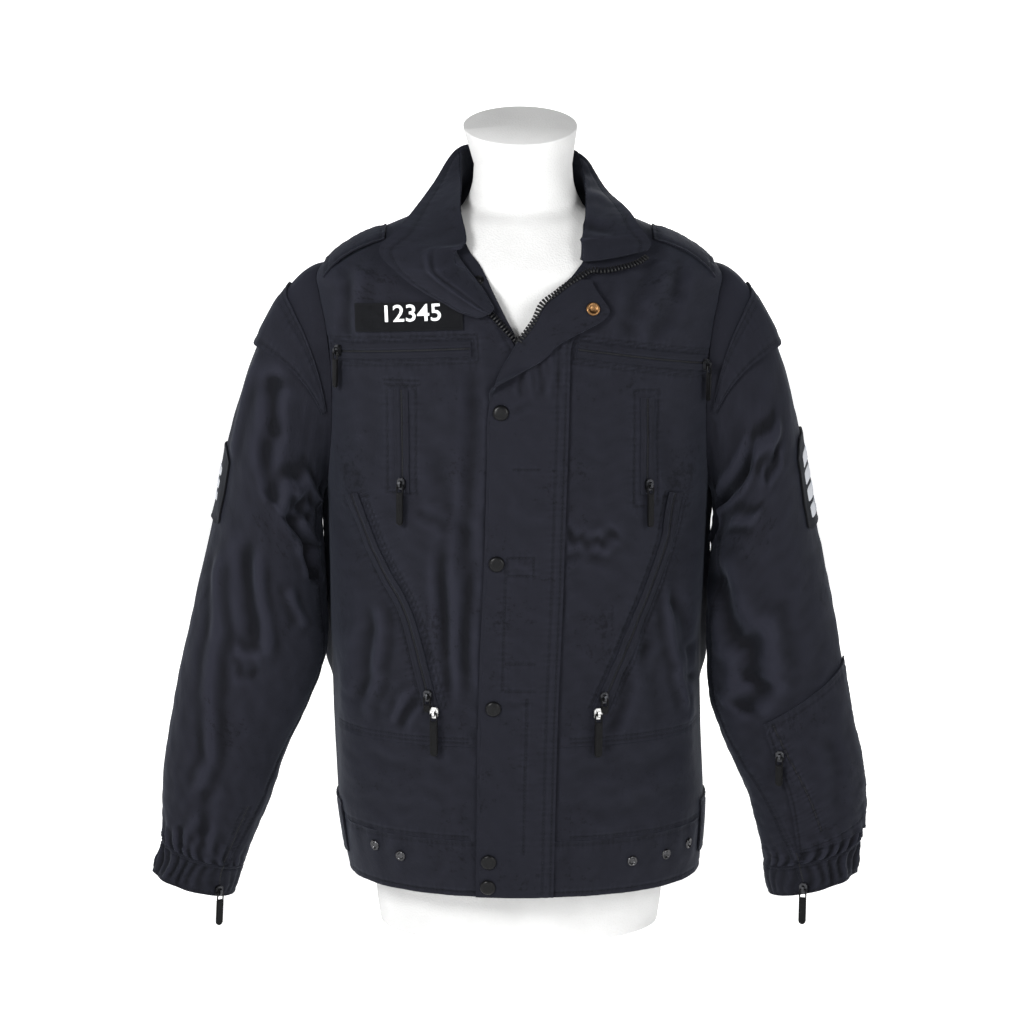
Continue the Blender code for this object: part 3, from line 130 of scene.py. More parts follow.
# Sleeve sections, x away from the body: z, outer_x, inner_x, middle_y, half_depth, tilt
SLEEVE_LEFT = np.array([
    (0.457, 0.303, 0.2045, -0.003, 0.084, 0.057),
    (0.390, 0.319, 0.2020, -0.008, 0.078, 0.045),
    (0.330, 0.336, 0.2020, -0.016, 0.071, 0.035),
    (0.270, 0.351, 0.2200, -0.026, 0.064, 0.027),
    (0.215, 0.3625, 0.2440, -0.036, 0.059, 0.022),
    (0.165, 0.371, 0.2590, -0.045, 0.055, 0.018),
    (0.125, 0.373, 0.2750, -0.053, 0.050, 0.016),
    (0.098, 0.3715, 0.2850, -0.061, 0.046, 0.014),
    (0.083, 0.373, 0.2900, -0.066, 0.043, 0.013),
    (0.060, 0.381, 0.2970, -0.070, 0.041, 0.012),
])
SLEEVE_RIGHT = np.array([
    (0.457, 0.2945, 0.2020, -0.003, 0.084, 0.057),
    (0.390, 0.3095, 0.1980, -0.008, 0.078, 0.045),
    (0.330, 0.325, 0.1970, -0.016, 0.071, 0.035),
    (0.270, 0.337, 0.2010, -0.026, 0.064, 0.027),
    (0.215, 0.346, 0.2190, -0.036, 0.059, 0.022),
    (0.165, 0.3572, 0.2400, -0.045, 0.055, 0.018),
    (0.125, 0.3603, 0.2500, -0.053, 0.050, 0.016),
    (0.098, 0.357, 0.2555, -0.061, 0.046, 0.014),
    (0.083, 0.354, 0.2560, -0.066, 0.043, 0.013),
    (0.060, 0.3515, 0.2600, -0.070, 0.041, 0.012),
])
# Seams between the top and the under sleeve: step, front_angle, back_angle
SLEEVE_SEAMS = {
    -1: np.array([(0, 152, 232), (2, 160, 232), (4, 174, 230), (6, 155, 226), (9, 128, 218)]),
    1: np.array([(0, 152, 232), (2, 160, 232), (4, 166, 230), (6, 142, 226), (9, 106, 220)]),
}
# Sleeve folds: step_1, angle_1, step_2, angle_2, half_breadth, height
SLEEVE_FOLDS = {
    -1: np.array([
        (1.2, 150, 2.2, 85, 0.017, -0.0060),
        (2.6, 160, 3.6, 70, 0.020, 0.0045),
        (3.6, 165, 4.6, 60, 0.018, -0.0050),
        (5.0, 80, 6.4, 20, 0.018, -0.0040),
        (2.2, 300, 3.4, 230, 0.022, -0.0050),
        (4.2, 310, 5.4, 240, 0.020, 0.0045),
    ]),
    1: np.array([
        (1.3, 60, 2.4, 120, 0.018, -0.0055),
        (2.4, 120, 3.2, 160, 0.018, -0.0055),
        (3.0, 60, 4.2, 130, 0.020, 0.0045),
        (1.8, 230, 3.0, 300, 0.022, -0.0050),
        (3.8, 235, 5.0, 305, 0.020, 0.0045),
    ]),
}
SLEEVE_TOP_PULL = (0.16, 0.0, -0.02)       # leaving direction at the shoulder
SLEEVE_ARMPIT_PULL = (0.035, 0.0, -0.045)  # and at the armpit
SLEEVE_END_STEP = 8.45                     # the cuff starts just past this step
SLEEVE_LAST_STEP = 10                      # and ends here
ARMHOLE = dict(front=0.062, back=0.070)
ARMHOLE_INSET = dict(height=0.0009, front=0.0009, back=0.0016)
CUFF_RADIUS = 0.045
CUFF_LENGTH = 0.095
CUFF_WAVES = 9
CUFF_WAVE_HEIGHT = 0.0016
CUFF_FOLDS = 24                            # fine folds round the cuff
CUFF_FOLD_HEIGHT = 0.0017
CUFF_GATHER_MIDDLE = 20                    # angle round which the cuff is gathered
CUFF_GAP = 0.035                           # in steps, between the sleeve and its cuff

# Band over the sleeve head: its reach to each side, the turn of the curve that its edges follow,
# then steps at its ends and their growth to its middle
CAP = dict(reach=104, turn=88, start=0.07, start_rise=0.15, depth=0.045, depth_rise=0.235, stand=0.0022)
# Loop across the end of the shoulder seam
SHOULDER_LOOP = dict(inner_x=0.136, outer_x=0.198, front_y=-0.048, back_y=-0.010, arch=0.0030)
# Pocket on the right forearm: angles, steps, and how far its top edge falls a degree
FOREARM_POCKET = dict(front=112, outside=8, top=4.55, fall=0.0045, bottom=7.75)
# Tab at the side of the hem band: angles and heights
SIDE_TAB = dict(front=76, back=96, low=0.084, high=0.140)
# Patches on the upper arms: name, side, first and last angle, first and last step
PATCHES = [
    ("arm_patch_left", -1, -24, 34, 1.02, 1.98),
    ("arm_patch_right", 1, -32, 40, 0.90, 2.02),
]
PATCH_THICKNESS = 0.0014
# Plain raised bars on the patches: their levels, half height and reach to each side, as shares
PATCH_BARS = {
    -1: dict(levels=(-0.34, 0.0, 0.34), half=0.12, reach=0.52),
    1: dict(levels=(-0.60, -0.20, 0.20, 0.60), half=0.165, reach=0.76),
}
# Back neckline: where its dip begins, and its depth
NECK_DIP = dict(from_z=0.60, depth=0.010)

# Collar: place along it, angle and height of its seam, then the roll and edge points (x, y, z)
COLLAR_STAND = [
    (-0.74, -50, 0.7300, (-0.055, -0.084, 0.7260), (-0.124, -0.062, 0.7340)),
    (-0.64, -66, 0.7465, (-0.060, -0.058, 0.7520), (-0.1080, -0.028, 0.7530)),
    (-0.52, -92, 0.7525, (-0.060, -0.016, 0.7750), (-0.0905, 0.008, 0.7770)),
    (-0.38, -118, 0.7490, (-0.059, 0.030, 0.7920), (-0.0690, 0.045, 0.8110)),
    (-0.20, -148, 0.7455, (-0.044, 0.070, 0.7820), (-0.0440, 0.073, 0.8210)),
    (0.00, 180, 0.7440, (0.000, 0.083, 0.7780), (0.0000, 0.085, 0.8190)),
    (0.20, 148, 0.7455, (0.046, 0.070, 0.7820), (0.0450, 0.073, 0.8190)),
    (0.38, 118, 0.7490, (0.065, 0.030, 0.7920), (0.0710, 0.045, 0.8030)),
    (0.52, 92, 0.7525, (0.068, -0.016, 0.7750), (0.0905, 0.010, 0.7730)),
    (0.64, 66, 0.7465, (0.068, -0.056, 0.7520), (0.1110, -0.030, 0.7530)),
    (0.74, 50, 0.7300, (0.065, -0.080, 0.7300), (0.1220, -0.062, 0.7370)),
]
# Lapel rows, on the front: place, seam_x, seam_z, roll_x, roll_z, roll_lift, edge_x, edge_z, edge_lift
COLLAR_LEFT_END = [
    (-0.84, -0.064, 0.7120, -0.063, 0.7080, 0.0085, -0.138, 0.7060, 0.0075),
    (-0.91, -0.057, 0.7020, -0.061, 0.6920, 0.0080, -0.117, 0.6870, 0.0070),
    (-0.98, -0.047, 0.6900, -0.050, 0.6800, 0.0080, -0.095, 0.6730, 0.0070),
    (-1.05, -0.037, 0.6780, -0.039, 0.6690, 0.0075, -0.075, 0.6630, 0.0068),
    (-1.11, -0.030, 0.6670, -0.031, 0.6610, 0.0070, -0.057, 0.6540, 0.0065),
    (-1.15, -0.026, 0.6600, -0.026, 0.6560, 0.0065, -0.041, 0.6490, 0.0062),
]
COLLAR_RIGHT_END = [
    (0.82, 0.066, 0.7150, 0.062, 0.7140, 0.0075, 0.130, 0.7150, 0.0085),
    (0.87, 0.061, 0.7050, 0.062, 0.7010, 0.0070, 0.127, 0.7090, 0.0080),
]

# Neckline of the fronts: z, left_x, right_x
NECKLINE = np.array([
    (0.560, -0.0035, -0.0032),
    (0.620, -0.0035, -0.0032),
    (0.633, -0.0100, 0.0040),
    (0.645, -0.0170, 0.0130),
    (0.655, -0.0240, 0.0190),
    (0.665, -0.0310, 0.0260),
    (0.680, -0.0430, 0.0410),
    (0.690, -0.0500, 0.0520),
    (0.702, -0.0600, 0.0620),
    (0.715, -0.0680, 0.0690),
    (0.728, -0.0750, 0.0760),
    (0.740, -0.0800, 0.0805),
    (0.752, -0.0845, 0.0845),
])

# Underlap that carries the stud, behind the left front edge: z, outer_x, inner_x
UNDERLAP = np.array([
    (0.600, -0.030, -0.0060),
    (0.620, -0.032, -0.0040),
    (0.633, -0.034, -0.0045),
    (0.650, -0.042, -0.0130),
    (0.665, -0.050, -0.0205),
    (0.680, -0.060, -0.0280),
    (0.692, -0.067, -0.0335),
    (0.704, -0.071, -0.0405),
    (0.714, -0.074, -0.0490),
    (0.722, -0.076, -0.0535),
    (0.730, -0.078, -0.0585),
])

# Storm flap: z, seam_x, fold_x, turned, turn_degrees (turned is the breadth beyond the fold)
STORM_FLAP = np.array([
    (0.0625, 0.0345, -0.0410, 0.003, 0),
    (0.1220, 0.0355, -0.0400, 0.003, 0),
    (0.1700, 0.0365, -0.0395, 0.003, 0),
    (0.2200, 0.0375, -0.0390, 0.003, 0),
    (0.2700, 0.0390, -0.0375, 0.003, 0),
    (0.3200, 0.0410, -0.0360, 0.003, 0),
    (0.3700, 0.0430, -0.0335, 0.003, 0),
    (0.4200, 0.0445, -0.0315, 0.003, 0),
    (0.4700, 0.0460, -0.0300, 0.003, 0),
    (0.5150, 0.0475, -0.0290, 0.003, 0),
    (0.5500, 0.0485, -0.0285, 0.003, 0),
    (0.5680, 0.0490, -0.0265, 0.003, 0),
    (0.5770, 0.0490, -0.0240, 0.005, 50),
    (0.5850, 0.0492, -0.0210, 0.009, 110),
    (0.5925, 0.0494, -0.0185, 0.015, 155),
    (0.6000, 0.0496, -0.0150, 0.022, 175),
    (0.6070, 0.0498, -0.0110, 0.031, 180),
    (0.6140, 0.0500, -0.0065, 0.0355, 180),
    (0.6220, 0.0510, -0.0020, 0.0385, 180),
    (0.6300, 0.0540, 0.0035, 0.0465, 180),
    (0.6400, 0.0640, 0.0115, 0.0590, 180),
    (0.6480, 0.0730, 0.0175, 0.0660, 180),
    (0.6550, 0.0770, 0.0230, 0.0650, 180),
    (0.6620, 0.0745, 0.0290, 0.0550, 180),
    (0.6700, 0.0710, 0.0390, 0.0390, 180),
    (0.6780, 0.0680, 0.0500, 0.0230, 180),
    (0.6840, 0.0665, 0.0580, 0.0120, 180),
])
FLAP_TURN_RADIUS = 0.0021

# Fine creases of the fronts, in place over the folds above: x_1, z_1, x_2, z_2, half_breadth, height
FRONT_CREASES = np.array([
    (-0.047, 0.600, -0.052, 0.400, 0.0070, -0.0022),
    (-0.050, 0.400, -0.055, 0.280, 0.0060, -0.0020),
    (-0.076, 0.420, -0.075, 0.270, 0.0060, -0.0025),
    (-0.065, 0.400, -0.066, 0.300, 0.0070, 0.0016),
    (-0.101, 0.272, -0.121, 0.238, 0.0050, -0.0022),
    (-0.112, 0.275, -0.130, 0.243, 0.0050, 0.0012),
    (-0.142, 0.356, -0.143, 0.291, 0.0060, 0.0022),
    (-0.143, 0.291, -0.155, 0.246, 0.0060, 0.0022),
    (-0.152, 0.340, -0.160, 0.260, 0.0070, -0.0018),
    (-0.150, 0.590, -0.147, 0.500, 0.0100, -0.0012),
    (-0.075, 0.600, -0.072, 0.520, 0.0120, 0.0012),
    (-0.085, 0.520, -0.060, 0.430, 0.0100, -0.0018),
    (-0.100, 0.460, -0.072, 0.440, 0.0060, -0.0012),
    (-0.178, 0.700, -0.172, 0.630, 0.0070, -0.0018),
    (-0.160, 0.700, -0.158, 0.630, 0.0080, 0.0012),
    (-0.150, 0.200, -0.060, 0.188, 0.0080, -0.0008),
    (-0.130, 0.165, -0.080, 0.160, 0.0080, 0.0006),
    (0.149, 0.704, 0.116, 0.632, 0.0090, 0.0015),
    (0.135, 0.700, 0.102, 0.635, 0.0100, -0.0022),
    (0.166, 0.694, 0.138, 0.632, 0.0080, -0.0018),
    (0.042, 0.438, 0.060, 0.431, 0.0060, -0.0018),
    (0.060, 0.431, 0.079, 0.428, 0.0060, -0.0018),
    (0.079, 0.428, 0.098, 0.436, 0.0060, -0.0018),
    (0.046, 0.415, 0.095, 0.410, 0.0060, -0.0012),
    (0.150, 0.373, 0.159, 0.291, 0.0045, 0.0022),
    (0.159, 0.291, 0.168, 0.246, 0.0045, 0.0022),
    (0.158, 0.366, 0.176, 0.311, 0.0070, -0.0030),
    (0.176, 0.311, 0.181, 0.270, 0.0070, -0.0030),
    (0.134, 0.325, 0.099, 0.246, 0.0070, -0.0018),
    (0.120, 0.340, 0.112, 0.250, 0.0060, 0.0014),
    (0.101, 0.300, 0.097, 0.232, 0.0080, -0.0012),
    (0.138, 0.310, 0.140, 0.235, 0.0080, -0.0012),
    (0.150, 0.550, 0.150, 0.440, 0.0120, -0.0018),
    (0.060, 0.190, 0.160, 0.200, 0.0090, -0.0008),
    (0.050, 0.155, 0.120, 0.150, 0.0080, -0.0008),
    (0.100, 0.170, 0.170, 0.175, 0.0100, 0.0008),
])
# The same on the back
BACK_CREASES = np.array([
    (-0.130, 0.460, -0.060, 0.360, 0.0120, -0.0030),
    (0.140, 0.450, 0.070, 0.340, 0.0120, -0.0030),
    (-0.050, 0.620, -0.045, 0.400, 0.0140, 0.0018),
    (0.060, 0.600, 0.050, 0.380, 0.0140, 0.0018),
    (-0.160, 0.300, -0.100, 0.220, 0.0100, -0.0020),
    (0.150, 0.280, 0.100, 0.200, 0.0100, -0.0020),
    (0.000, 0.300, 0.010, 0.160, 0.0120, 0.0015),
    (-0.030, 0.280, -0.030, 0.150, 0.0090, -0.0015),
    (-0.170, 0.600, -0.120, 0.520, 0.0100, -0.0020),
    (0.165, 0.610, 0.115, 0.530, 0.0110, -0.0022),
])
# Bulge of the back behind each arm: heights, angle of its middle, spread in degrees, and its height
BACK_BULGE = dict(low=0.245, high=0.525, middle=102, spread=11, height=0.0135)
# Creases of the sleeves: step_1, angle_1, step_2, angle_2, half_breadth, height
SLEEVE_CREASES = {
    -1: np.array([
        (0.80, 116, 1.06, 141, 0.0130, -0.0060),
        (0.64, 120, 0.70, 138, 0.0100, -0.0030),
        (0.94, 96, 0.66, 107, 0.0070, 0.0040),
        (0.66, 107, 0.45, 126, 0.0070, 0.0040),
        (0.45, 126, 0.34, 160, 0.0070, 0.0030),
        (1.02, 141, 1.60, 146, 0.0090, -0.0060),
        (0.42, 59, 0.62, 72, 0.0100, -0.0035),
        (0.62, 72, 0.94, 96, 0.0100, -0.0035),
        (0.45, 35, 1.00, 30, 0.0080, 0.0020),
        (2.29, 44, 3.46, 58, 0.0080, 0.0030),
        (3.46, 58, 5.49, 81, 0.0080, 0.0028),
        (5.49, 81, 6.98, 78, 0.0080, 0.0020),
        (1.82, 72, 3.22, 86, 0.0100, -0.0035),
        (1.82, 84, 3.32, 100, 0.0060, 0.0025),
        (3.44, 77, 3.46, 99, 0.0055, 0.0012),
        (3.71, 83, 3.76, 99, 0.0060, -0.0010),
        (5.99, 84, 7.28, 86, 0.0090, -0.0030),
        (7.20, 60, 8.00, 62, 0.0060, -0.0020),
        (7.00, 100, 8.20, 104, 0.0060, 0.0018),
        (1.99, 117, 2.59, 130, 0.0070, 0.0020),
        (1.20, 215, 2.20, 260, 0.0120, -0.0050),
        (2.60, 300, 3.40, 240, 0.0120, -0.0040),
        (3.20, 250, 4.20, 300, 0.0100, 0.0030),
        (4.60, 230, 5.40, 290, 0.0100, -0.0030),
        (0.60, 230, 0.90, 270, 0.0100, -0.0040),
        (6.00, 250, 7.20, 255, 0.0090, -0.0020),
    ]),
    1: np.array([
        (0.59, 94, 0.42, 153, 0.0070, -0.0080),
        (0.42, 153, 0.89, 175, 0.0070, -0.0080),
        (0.69, 56, 0.62, 90, 0.0060, 0.0040),
        (0.77, 63, 0.82, 83, 0.0060, -0.0030),
        (1.04, 97, 0.77, 130, 0.0070, 0.0030),
        (1.42, 160, 2.89, 121, 0.0130, -0.0060),
        (2.89, 121, 3.69, 109, 0.0130, -0.0060),
        (3.69, 109, 4.26, 125, 0.0130, -0.0060),
        (2.62, 100, 3.84, 89, 0.0100, 0.0020),
        (5.20, 60, 6.60, 64, 0.0090, -0.0016),
        (1.40, 225, 2.50, 262, 0.0120, -0.0048),
        (2.90, 296, 3.60, 246, 0.0110, -0.0040),
        (3.40, 256, 4.40, 304, 0.0100, 0.0030),
        (4.90, 236, 5.60, 288, 0.0100, -0.0030),
        (0.60, 236, 0.95, 272, 0.0100, -0.0040),
        (6.10, 248, 7.30, 252, 0.0090, -0.0020),
    ]),
}
SLEEVE_STEP_LENGTHS = (0.140, 0.060)   # cloth length of step 0 to 1, and of each later step
SLEEVE_DEGREE = 0.00115                # cloth length of a degree round the sleeve
# Tucks across the storm flap where it opens, and the pull of its snaps:
# x_1, z_1, x_2, z_2, half_breadth, height
FLAP_CREASES = np.array([
    (0.000, 0.615, 0.002, 0.575, 0.0028, -0.0008),
    (0.010, 0.616, 0.011, 0.572, 0.0030, 0.0007),
    (0.020, 0.614, 0.021, 0.577, 0.0028, -0.0008),
    (0.030, 0.617, 0.030, 0.574, 0.0030, 0.0007),
    (0.040, 0.613, 0.040, 0.578, 0.0028, -0.0007),
    (-0.014, 0.560, 0.014, 0.566, 0.0040, -0.0006),
    (-0.018, 0.409, 0.012, 0.402, 0.0040, 0.0005),
    (-0.022, 0.262, 0.010, 0.268, 0.0040, -0.0005),
    (-0.010, 0.470, 0.024, 0.448, 0.0090, 0.0008),
    (-0.012, 0.350, 0.026, 0.330, 0.0090, -0.0006),
    (-0.010, 0.220, 0.020, 0.190, 0.0100, 0.0008),
])
# Creases of the collar: share along it, share across it (0 seam, 1 edge), twice, half_breadth, height
COLLAR_LENGTH = 0.560
COLLAR_BREADTH = 0.085
COLLAR_CREASES = np.array([
    (0.010, 0.55, 0.150, 0.66, 0.0026, 0.0009),
    (0.010, 0.47, 0.150, 0.58, 0.0026, -0.0007),
    (0.420, 0.10, 0.440, 0.50, 0.0080, -0.0008),
    (0.560, 0.10, 0.590, 0.55, 0.0080, -0.0008),
    (0.760, 0.25, 0.790, 0.85, 0.0070, -0.0016),
    (0.830, 0.30, 0.860, 0.90, 0.0070, 0.0012),
    (0.910, 0.25, 0.930, 0.80, 0.0060, -0.0014),
])

TURNED_IN = 5                  # cells by which a single layer's edges are turned in
CREASE_STRENGTH = 1.5
# How far a crease's line wavers and its height varies, and the low shoulders beside it
CREASE = dict(wander=0.35, uneven=0.13, shoulder=0.28, shoulder_at=1.8, shoulder_breadth=0.8)
# Reach in cells and weight of the relief that paints shade into the cloth's troughs and a highlight onto its
# ridges, and the colour scale at its ends (painted shade at the low end, painted highlight at the high end)
PAINTED_SHADE_REACHES = ((1, 1.5), (4, 0.24))
PAINTED_SHADE_TONE = {"From Min": -0.0008, "From Max": 0.0008, "To Min": 0.40, "To Max": 1.50}

# Sewing: depth and half width of the groove, then the puckers beside it
GROOVE = dict(depth=0.00080, half_width=0.0017)
PUCKER = dict(height=0.00020, reach=0.0075, period=0.0080, drift=0.031)
ROUTE_SPACING = 0.0012
STITCH = dict(pitch=0.0033, length=0.0024, radius=0.00028, lift=0.00022)
THREAD_GAP = 0.0037            # between the lines of a double row
SEAM_ROW = 0.0035              # from a seam to its first row
HEM_ROW = 0.0045               # from the hem to its row, and from the waist seam to its first
BAND_TOP_ROW = 0.0038          # from the hem band's seam down to its row
FLAP_ROWS = (0.0035, 0.0115)   # from the storm flap's seam
COLLAR_ROW = 0.93              # share of the way from the collar's seam to its edge

# Zip teeth
COIL = dict(pitch=0.0015, along=0.0009, across=0.0016, height=0.0004)
TEETH = dict(pitch=0.0036, along=0.0022, across=0.0060, height=0.0027)
# Visible teeth of the open main zip: routes of (x, z), and their lifts above the front's surface
MAIN_TEETH_RIGHT = [(-0.001, 0.626), (0.006, 0.635), (0.014, 0.646), (0.022, 0.662), (0.035, 0.671),
                    (0.046, 0.679), (0.059, 0.686), (0.070, 0.692), (0.083, 0.692), (0.102, 0.695),
                    (0.117, 0.699), (0.126, 0.704)]
MAIN_TEETH_LEFT = [(-0.083, 0.695), (-0.064, 0.686), (-0.051, 0.674), (-0.038, 0.663), (-0.027, 0.653),
                   (-0.014, 0.639), (-0.001, 0.626)]
MAIN_TEETH = [(MAIN_TEETH_RIGHT, 0.0058), (MAIN_TEETH_LEFT, 0.0006)]

# Snaps on the storm flap: x, z
SNAPS = [(-0.0182, 0.5580), (-0.0225, 0.4080), (-0.0260, 0.2610), (-0.0307, 0.1010), (-0.0317, 0.0740)]
SOCKET = (0.0715, 0.6570)
SNAP_LAY = 0.0004
ROUND_SEGMENTS = 40
SNAP_PROFILE = [(0.0074, 0.0000), (0.0079, 0.0003), (0.0080, 0.0008), (0.0077, 0.0013), (0.0068, 0.0024),
                (0.0060, 0.0028), (0.0048, 0.0031), (0.0030, 0.0032), (0.0012, 0.00325)]
SOCKET_PROFILE = [(0.0064, 0.0000), (0.0067, 0.0003), (0.0068, 0.0008), (0.0067, 0.0013), (0.0062, 0.0017),
                  (0.0055, 0.0019), (0.0047, 0.0018), (0.0040, 0.0014), (0.0034, 0.0008), (0.0028, 0.0004),
                  (0.0012, 0.0003)]
RING_SNAPS = [(-0.148, 0.1055), (-0.121, 0.0995), (0.115, 0.0960), (0.151, 0.0965), (0.176, 0.1000)]
RING_PROFILE = [(0.0052, 0.0000), (0.0056, 0.0006), (0.0054, 0.0014), (0.0046, 0.0019), (0.0038, 0.0017),
                (0.0031, 0.0010), (0.0026, 0.0004), (0.0008, 0.0003)]
STUD = (-0.0405, 0.6880)
STUD_PROFILE = [(0.0050, 0.0000), (0.0052, 0.0003), (0.0046, 0.0007), (0.0028, 0.0008), (0.0024, 0.0012),
                (0.0027, 0.0022), (0.0020, 0.0027), (0.0008, 0.0028)]

# A zip's slider and its pull, measured from the middle of the pull's bar: X along it, Y down, Z out
SLIDER = dict(half_width=0.0042, above=0.0062, below=0.0050, base=-0.0052, top=-0.0014, round=0.0014)
BRIDGE_HALF_WIDTH = 0.0012
BRIDGE_THICKNESS = 0.0010
BRIDGE_ARCH = [(-0.0033, -0.0020), (-0.0033, 0.0004), (-0.0027, 0.0015), (-0.0014, 0.0019), (0.0002, 0.0019),
               (0.0014, 0.0016), (0.0023, 0.0008), (0.0026, -0.0004), (0.0026, -0.0020)]
PULL_BAR_RADIUS = 0.0008
PULL_EYE = dict(half_width=0.0040, length=0.0090, foot=0.0022)
PULL_THICKNESS = 0.0022
PULL_ROUND = 0.0040
PULL_EDGE = 0.0005
PULL_DISH = 0.0003
BAR_HEIGHT = 0.0056
STRAIGHT_TOP = LAY + STRIP
SLANT_TOP = BIAS_LAY + STRIP
# Zips on the fronts: name, x, z, pull length, pull half width, top of the strip beneath
FRONT_ZIPS = [
    ("chest_left", -0.1800, 0.6140, 0.037, 0.0036, STRAIGHT_TOP),
    ("chest_right", 0.1860, 0.5990, 0.036, 0.0036, STRAIGHT_TOP),
    ("vertical_left", -0.1160, 0.4850, 0.041, 0.0036, STRAIGHT_TOP),
    ("vertical_right", 0.1275, 0.4830, 0.042, 0.0036, STRAIGHT_TOP),
    ("diagonal_left_upper", -0.0905, 0.2720, 0.016, 0.0034, SLANT_TOP),
    ("diagonal_left_lower", -0.0840, 0.2550, 0.044, 0.0040, SLANT_TOP),
    ("diagonal_right_upper", 0.0835, 0.2700, 0.016, 0.0034, SLANT_TOP),
    ("diagonal_right_lower", 0.0775, 0.2540, 0.044, 0.0040, SLANT_TOP),
]
# Zips on the sleeves: name, side, step, angle, pull length, height of the cloth beneath
SLEEVE_ZIPS = [
    ("forearm", 1, 5.20, 106.0, 0.030, SLEEVE_LAY + CLOTH),
    ("cuff_left", -1, 9.75, 128.0, 0.036, 0.0006),
    ("cuff_right", 1, 9.75, 106.0, 0.036, 0.0002),
]
SLEEVE_PULL_HALF_WIDTH = 0.0038
SLIDER_CALM = 0.016            # the cloth lies calm this far round a slider

# Start and end of the name tape's middle line as (x, z), and its half height
NAME_TAPE = ((-0.1620, 0.6480), (-0.0560, 0.6525), 0.0140)
NAME_TAPE_THICKNESS = 0.0016
DIGITS = dict(text="12345", start=(-0.1330, 0.6445), end=(-0.0770, 0.6470), height=0.0165, lift=0.0004,
              bold=0.010)
# Strips along the pocket zips: name, then points of the zip's line as (x, z)
CHEST_ZIP_STRIPS = [
    ("chest_pocket_left", [(-0.1880, 0.6135), (-0.0480, 0.6205)]),
    ("chest_pocket_right", [(0.0580, 0.6195), (0.1880, 0.6010)]),
]
VERTICAL_STRIPS = [
    ("upright_pocket_left", [(-0.1170, 0.5790), (-0.1160, 0.4760)]),
    ("upright_pocket_right", [(0.1270, 0.5700), (0.1275, 0.4740)]),
]
DIAGONAL_ROUTES = [
    ("slant_pocket_left", [(-0.1690, 0.4700), (-0.1560, 0.4350), (-0.1400, 0.4000), (-0.1200, 0.3650),
                           (-0.0870, 0.2560)]),
    ("slant_pocket_right", [(0.1580, 0.4720), (0.1490, 0.4250), (0.1340, 0.3800), (0.1130, 0.3300),
                            (0.0800, 0.2560)]),
]
STRIP_BREADTHS = dict(chest=0.0075, upright=0.0068, slant=0.0070)
STRIP_GROOVE = dict(half_width=0.0010, depth=0.0010)
# Zip lines of the sleeves without strips: side, then (step, angle) points
FOREARM_ZIP = [(4.61, 104), (5.90, 95), (7.13, 85)]
CUFF_ZIPS = {-1: [(6.21, 133), (8.93, 124), (9.75, 128)], 1: [(7.73, 114), (9.38, 106), (9.75, 106)]}

# Sewing on the fronts that stands alone, as (x, z) points
BOX_LEFT = [(-0.132, 0.476), (-0.132, 0.582), (-0.103, 0.582), (-0.103, 0.476), (-0.132, 0.476)]
BOX_RIGHT = [(0.1145, 0.462), (0.1145, 0.578), (0.139, 0.578), (0.139, 0.462), (0.1145, 0.462)]
FLAP_SEWING = [
    [(-0.0135, 0.405), (-0.0170, 0.280)],
    [(0.0075, 0.270), (0.0040, 0.110)],
    [(-0.005, 0.502), (0.019, 0.502)],
    [(-0.012, 0.396), (-0.012, 0.414), (0.014, 0.414), (0.014, 0.396), (-0.012, 0.396)],
    [(-0.014, 0.307), (0.015, 0.307)],
    [(-0.014, 0.279), (0.015, 0.279)],
]
FOREARM_SEWING = [[(4.59, 111), (6.16, 102)], [(4.49, 90), (5.44, 81)]]


# Reading the tables

def curve_at(places, values, where):
    """A smooth curve through values at the given places, read at where."""
    places = np.asarray(places, float)
    values = np.asarray(values, float)
    where = np.asarray(where, float)
    step = np.diff(places)
    shape = (-1,) + (1,) * (values.ndim - 1)
    slope = np.diff(values, axis=0) / step.reshape(shape)
    tangent = np.empty_like(values)
    tangent[0] = slope[0]
    tangent[-1] = slope[-1]
    weight = (step[:-1] / (step[:-1] + step[1:])).reshape(shape)
    tangent[1:-1] = slope[:-1] * (1 - weight) + slope[1:] * weight
    index = np.clip(np.searchsorted(places, where, side="right") - 1, 0, len(places) - 2)
    length = step[index]
    t = np.clip((where - places[index]) / length, 0, 1)
    extra = (Ellipsis,) + (None,) * (values.ndim - 1)
    t = t[extra]
    length = length[extra]
    return ((2 * t**3 - 3 * t**2 + 1) * values[index]
            + (t**3 - 2 * t**2 + t) * length * tangent[index]
            + (3 * t**2 - 2 * t**3) * values[index + 1]
            + (t**3 - t**2) * length * tangent[index + 1])


def section_at(table, z):
    """Every later column of a table at a place z of its first."""
    return np.moveaxis(curve_at(table[:, 0], table[:, 1:], z), -1, 0)


def together(first, second):
    """Both as arrays of numbers of one shape."""
    return np.broadcast_arrays(np.asarray(first, float), np.asarray(second, float))


def fold_height(folds, along, height, scale):
    """Sum of soft troughs and ridges at places (along, height); scale turns along into metres."""
    total = np.zeros(np.broadcast(along, height).shape)
    for along_1, height_1, along_2, height_2, half_breadth, size in folds:
        start = np.array((along_1 * scale[0], height_1 * scale[1]))
        run = np.array((along_2 * scale[0], height_2 * scale[1])) - start
        length = np.hypot(*run)
        du = along * scale[0] - start[0]
        dv = height * scale[1] - start[1]
        t = (du * run[0] + dv * run[1]) / length**2
        across = (du * run[1] - dv * run[0]) / length
        taper = np.exp(-np.clip(np.abs(t - 0.5) - 0.32, 0, None)**2 / 0.045)
        total = total + size * taper * np.exp(-(across / half_breadth)**2)
    return total


# Surfaces of the garment

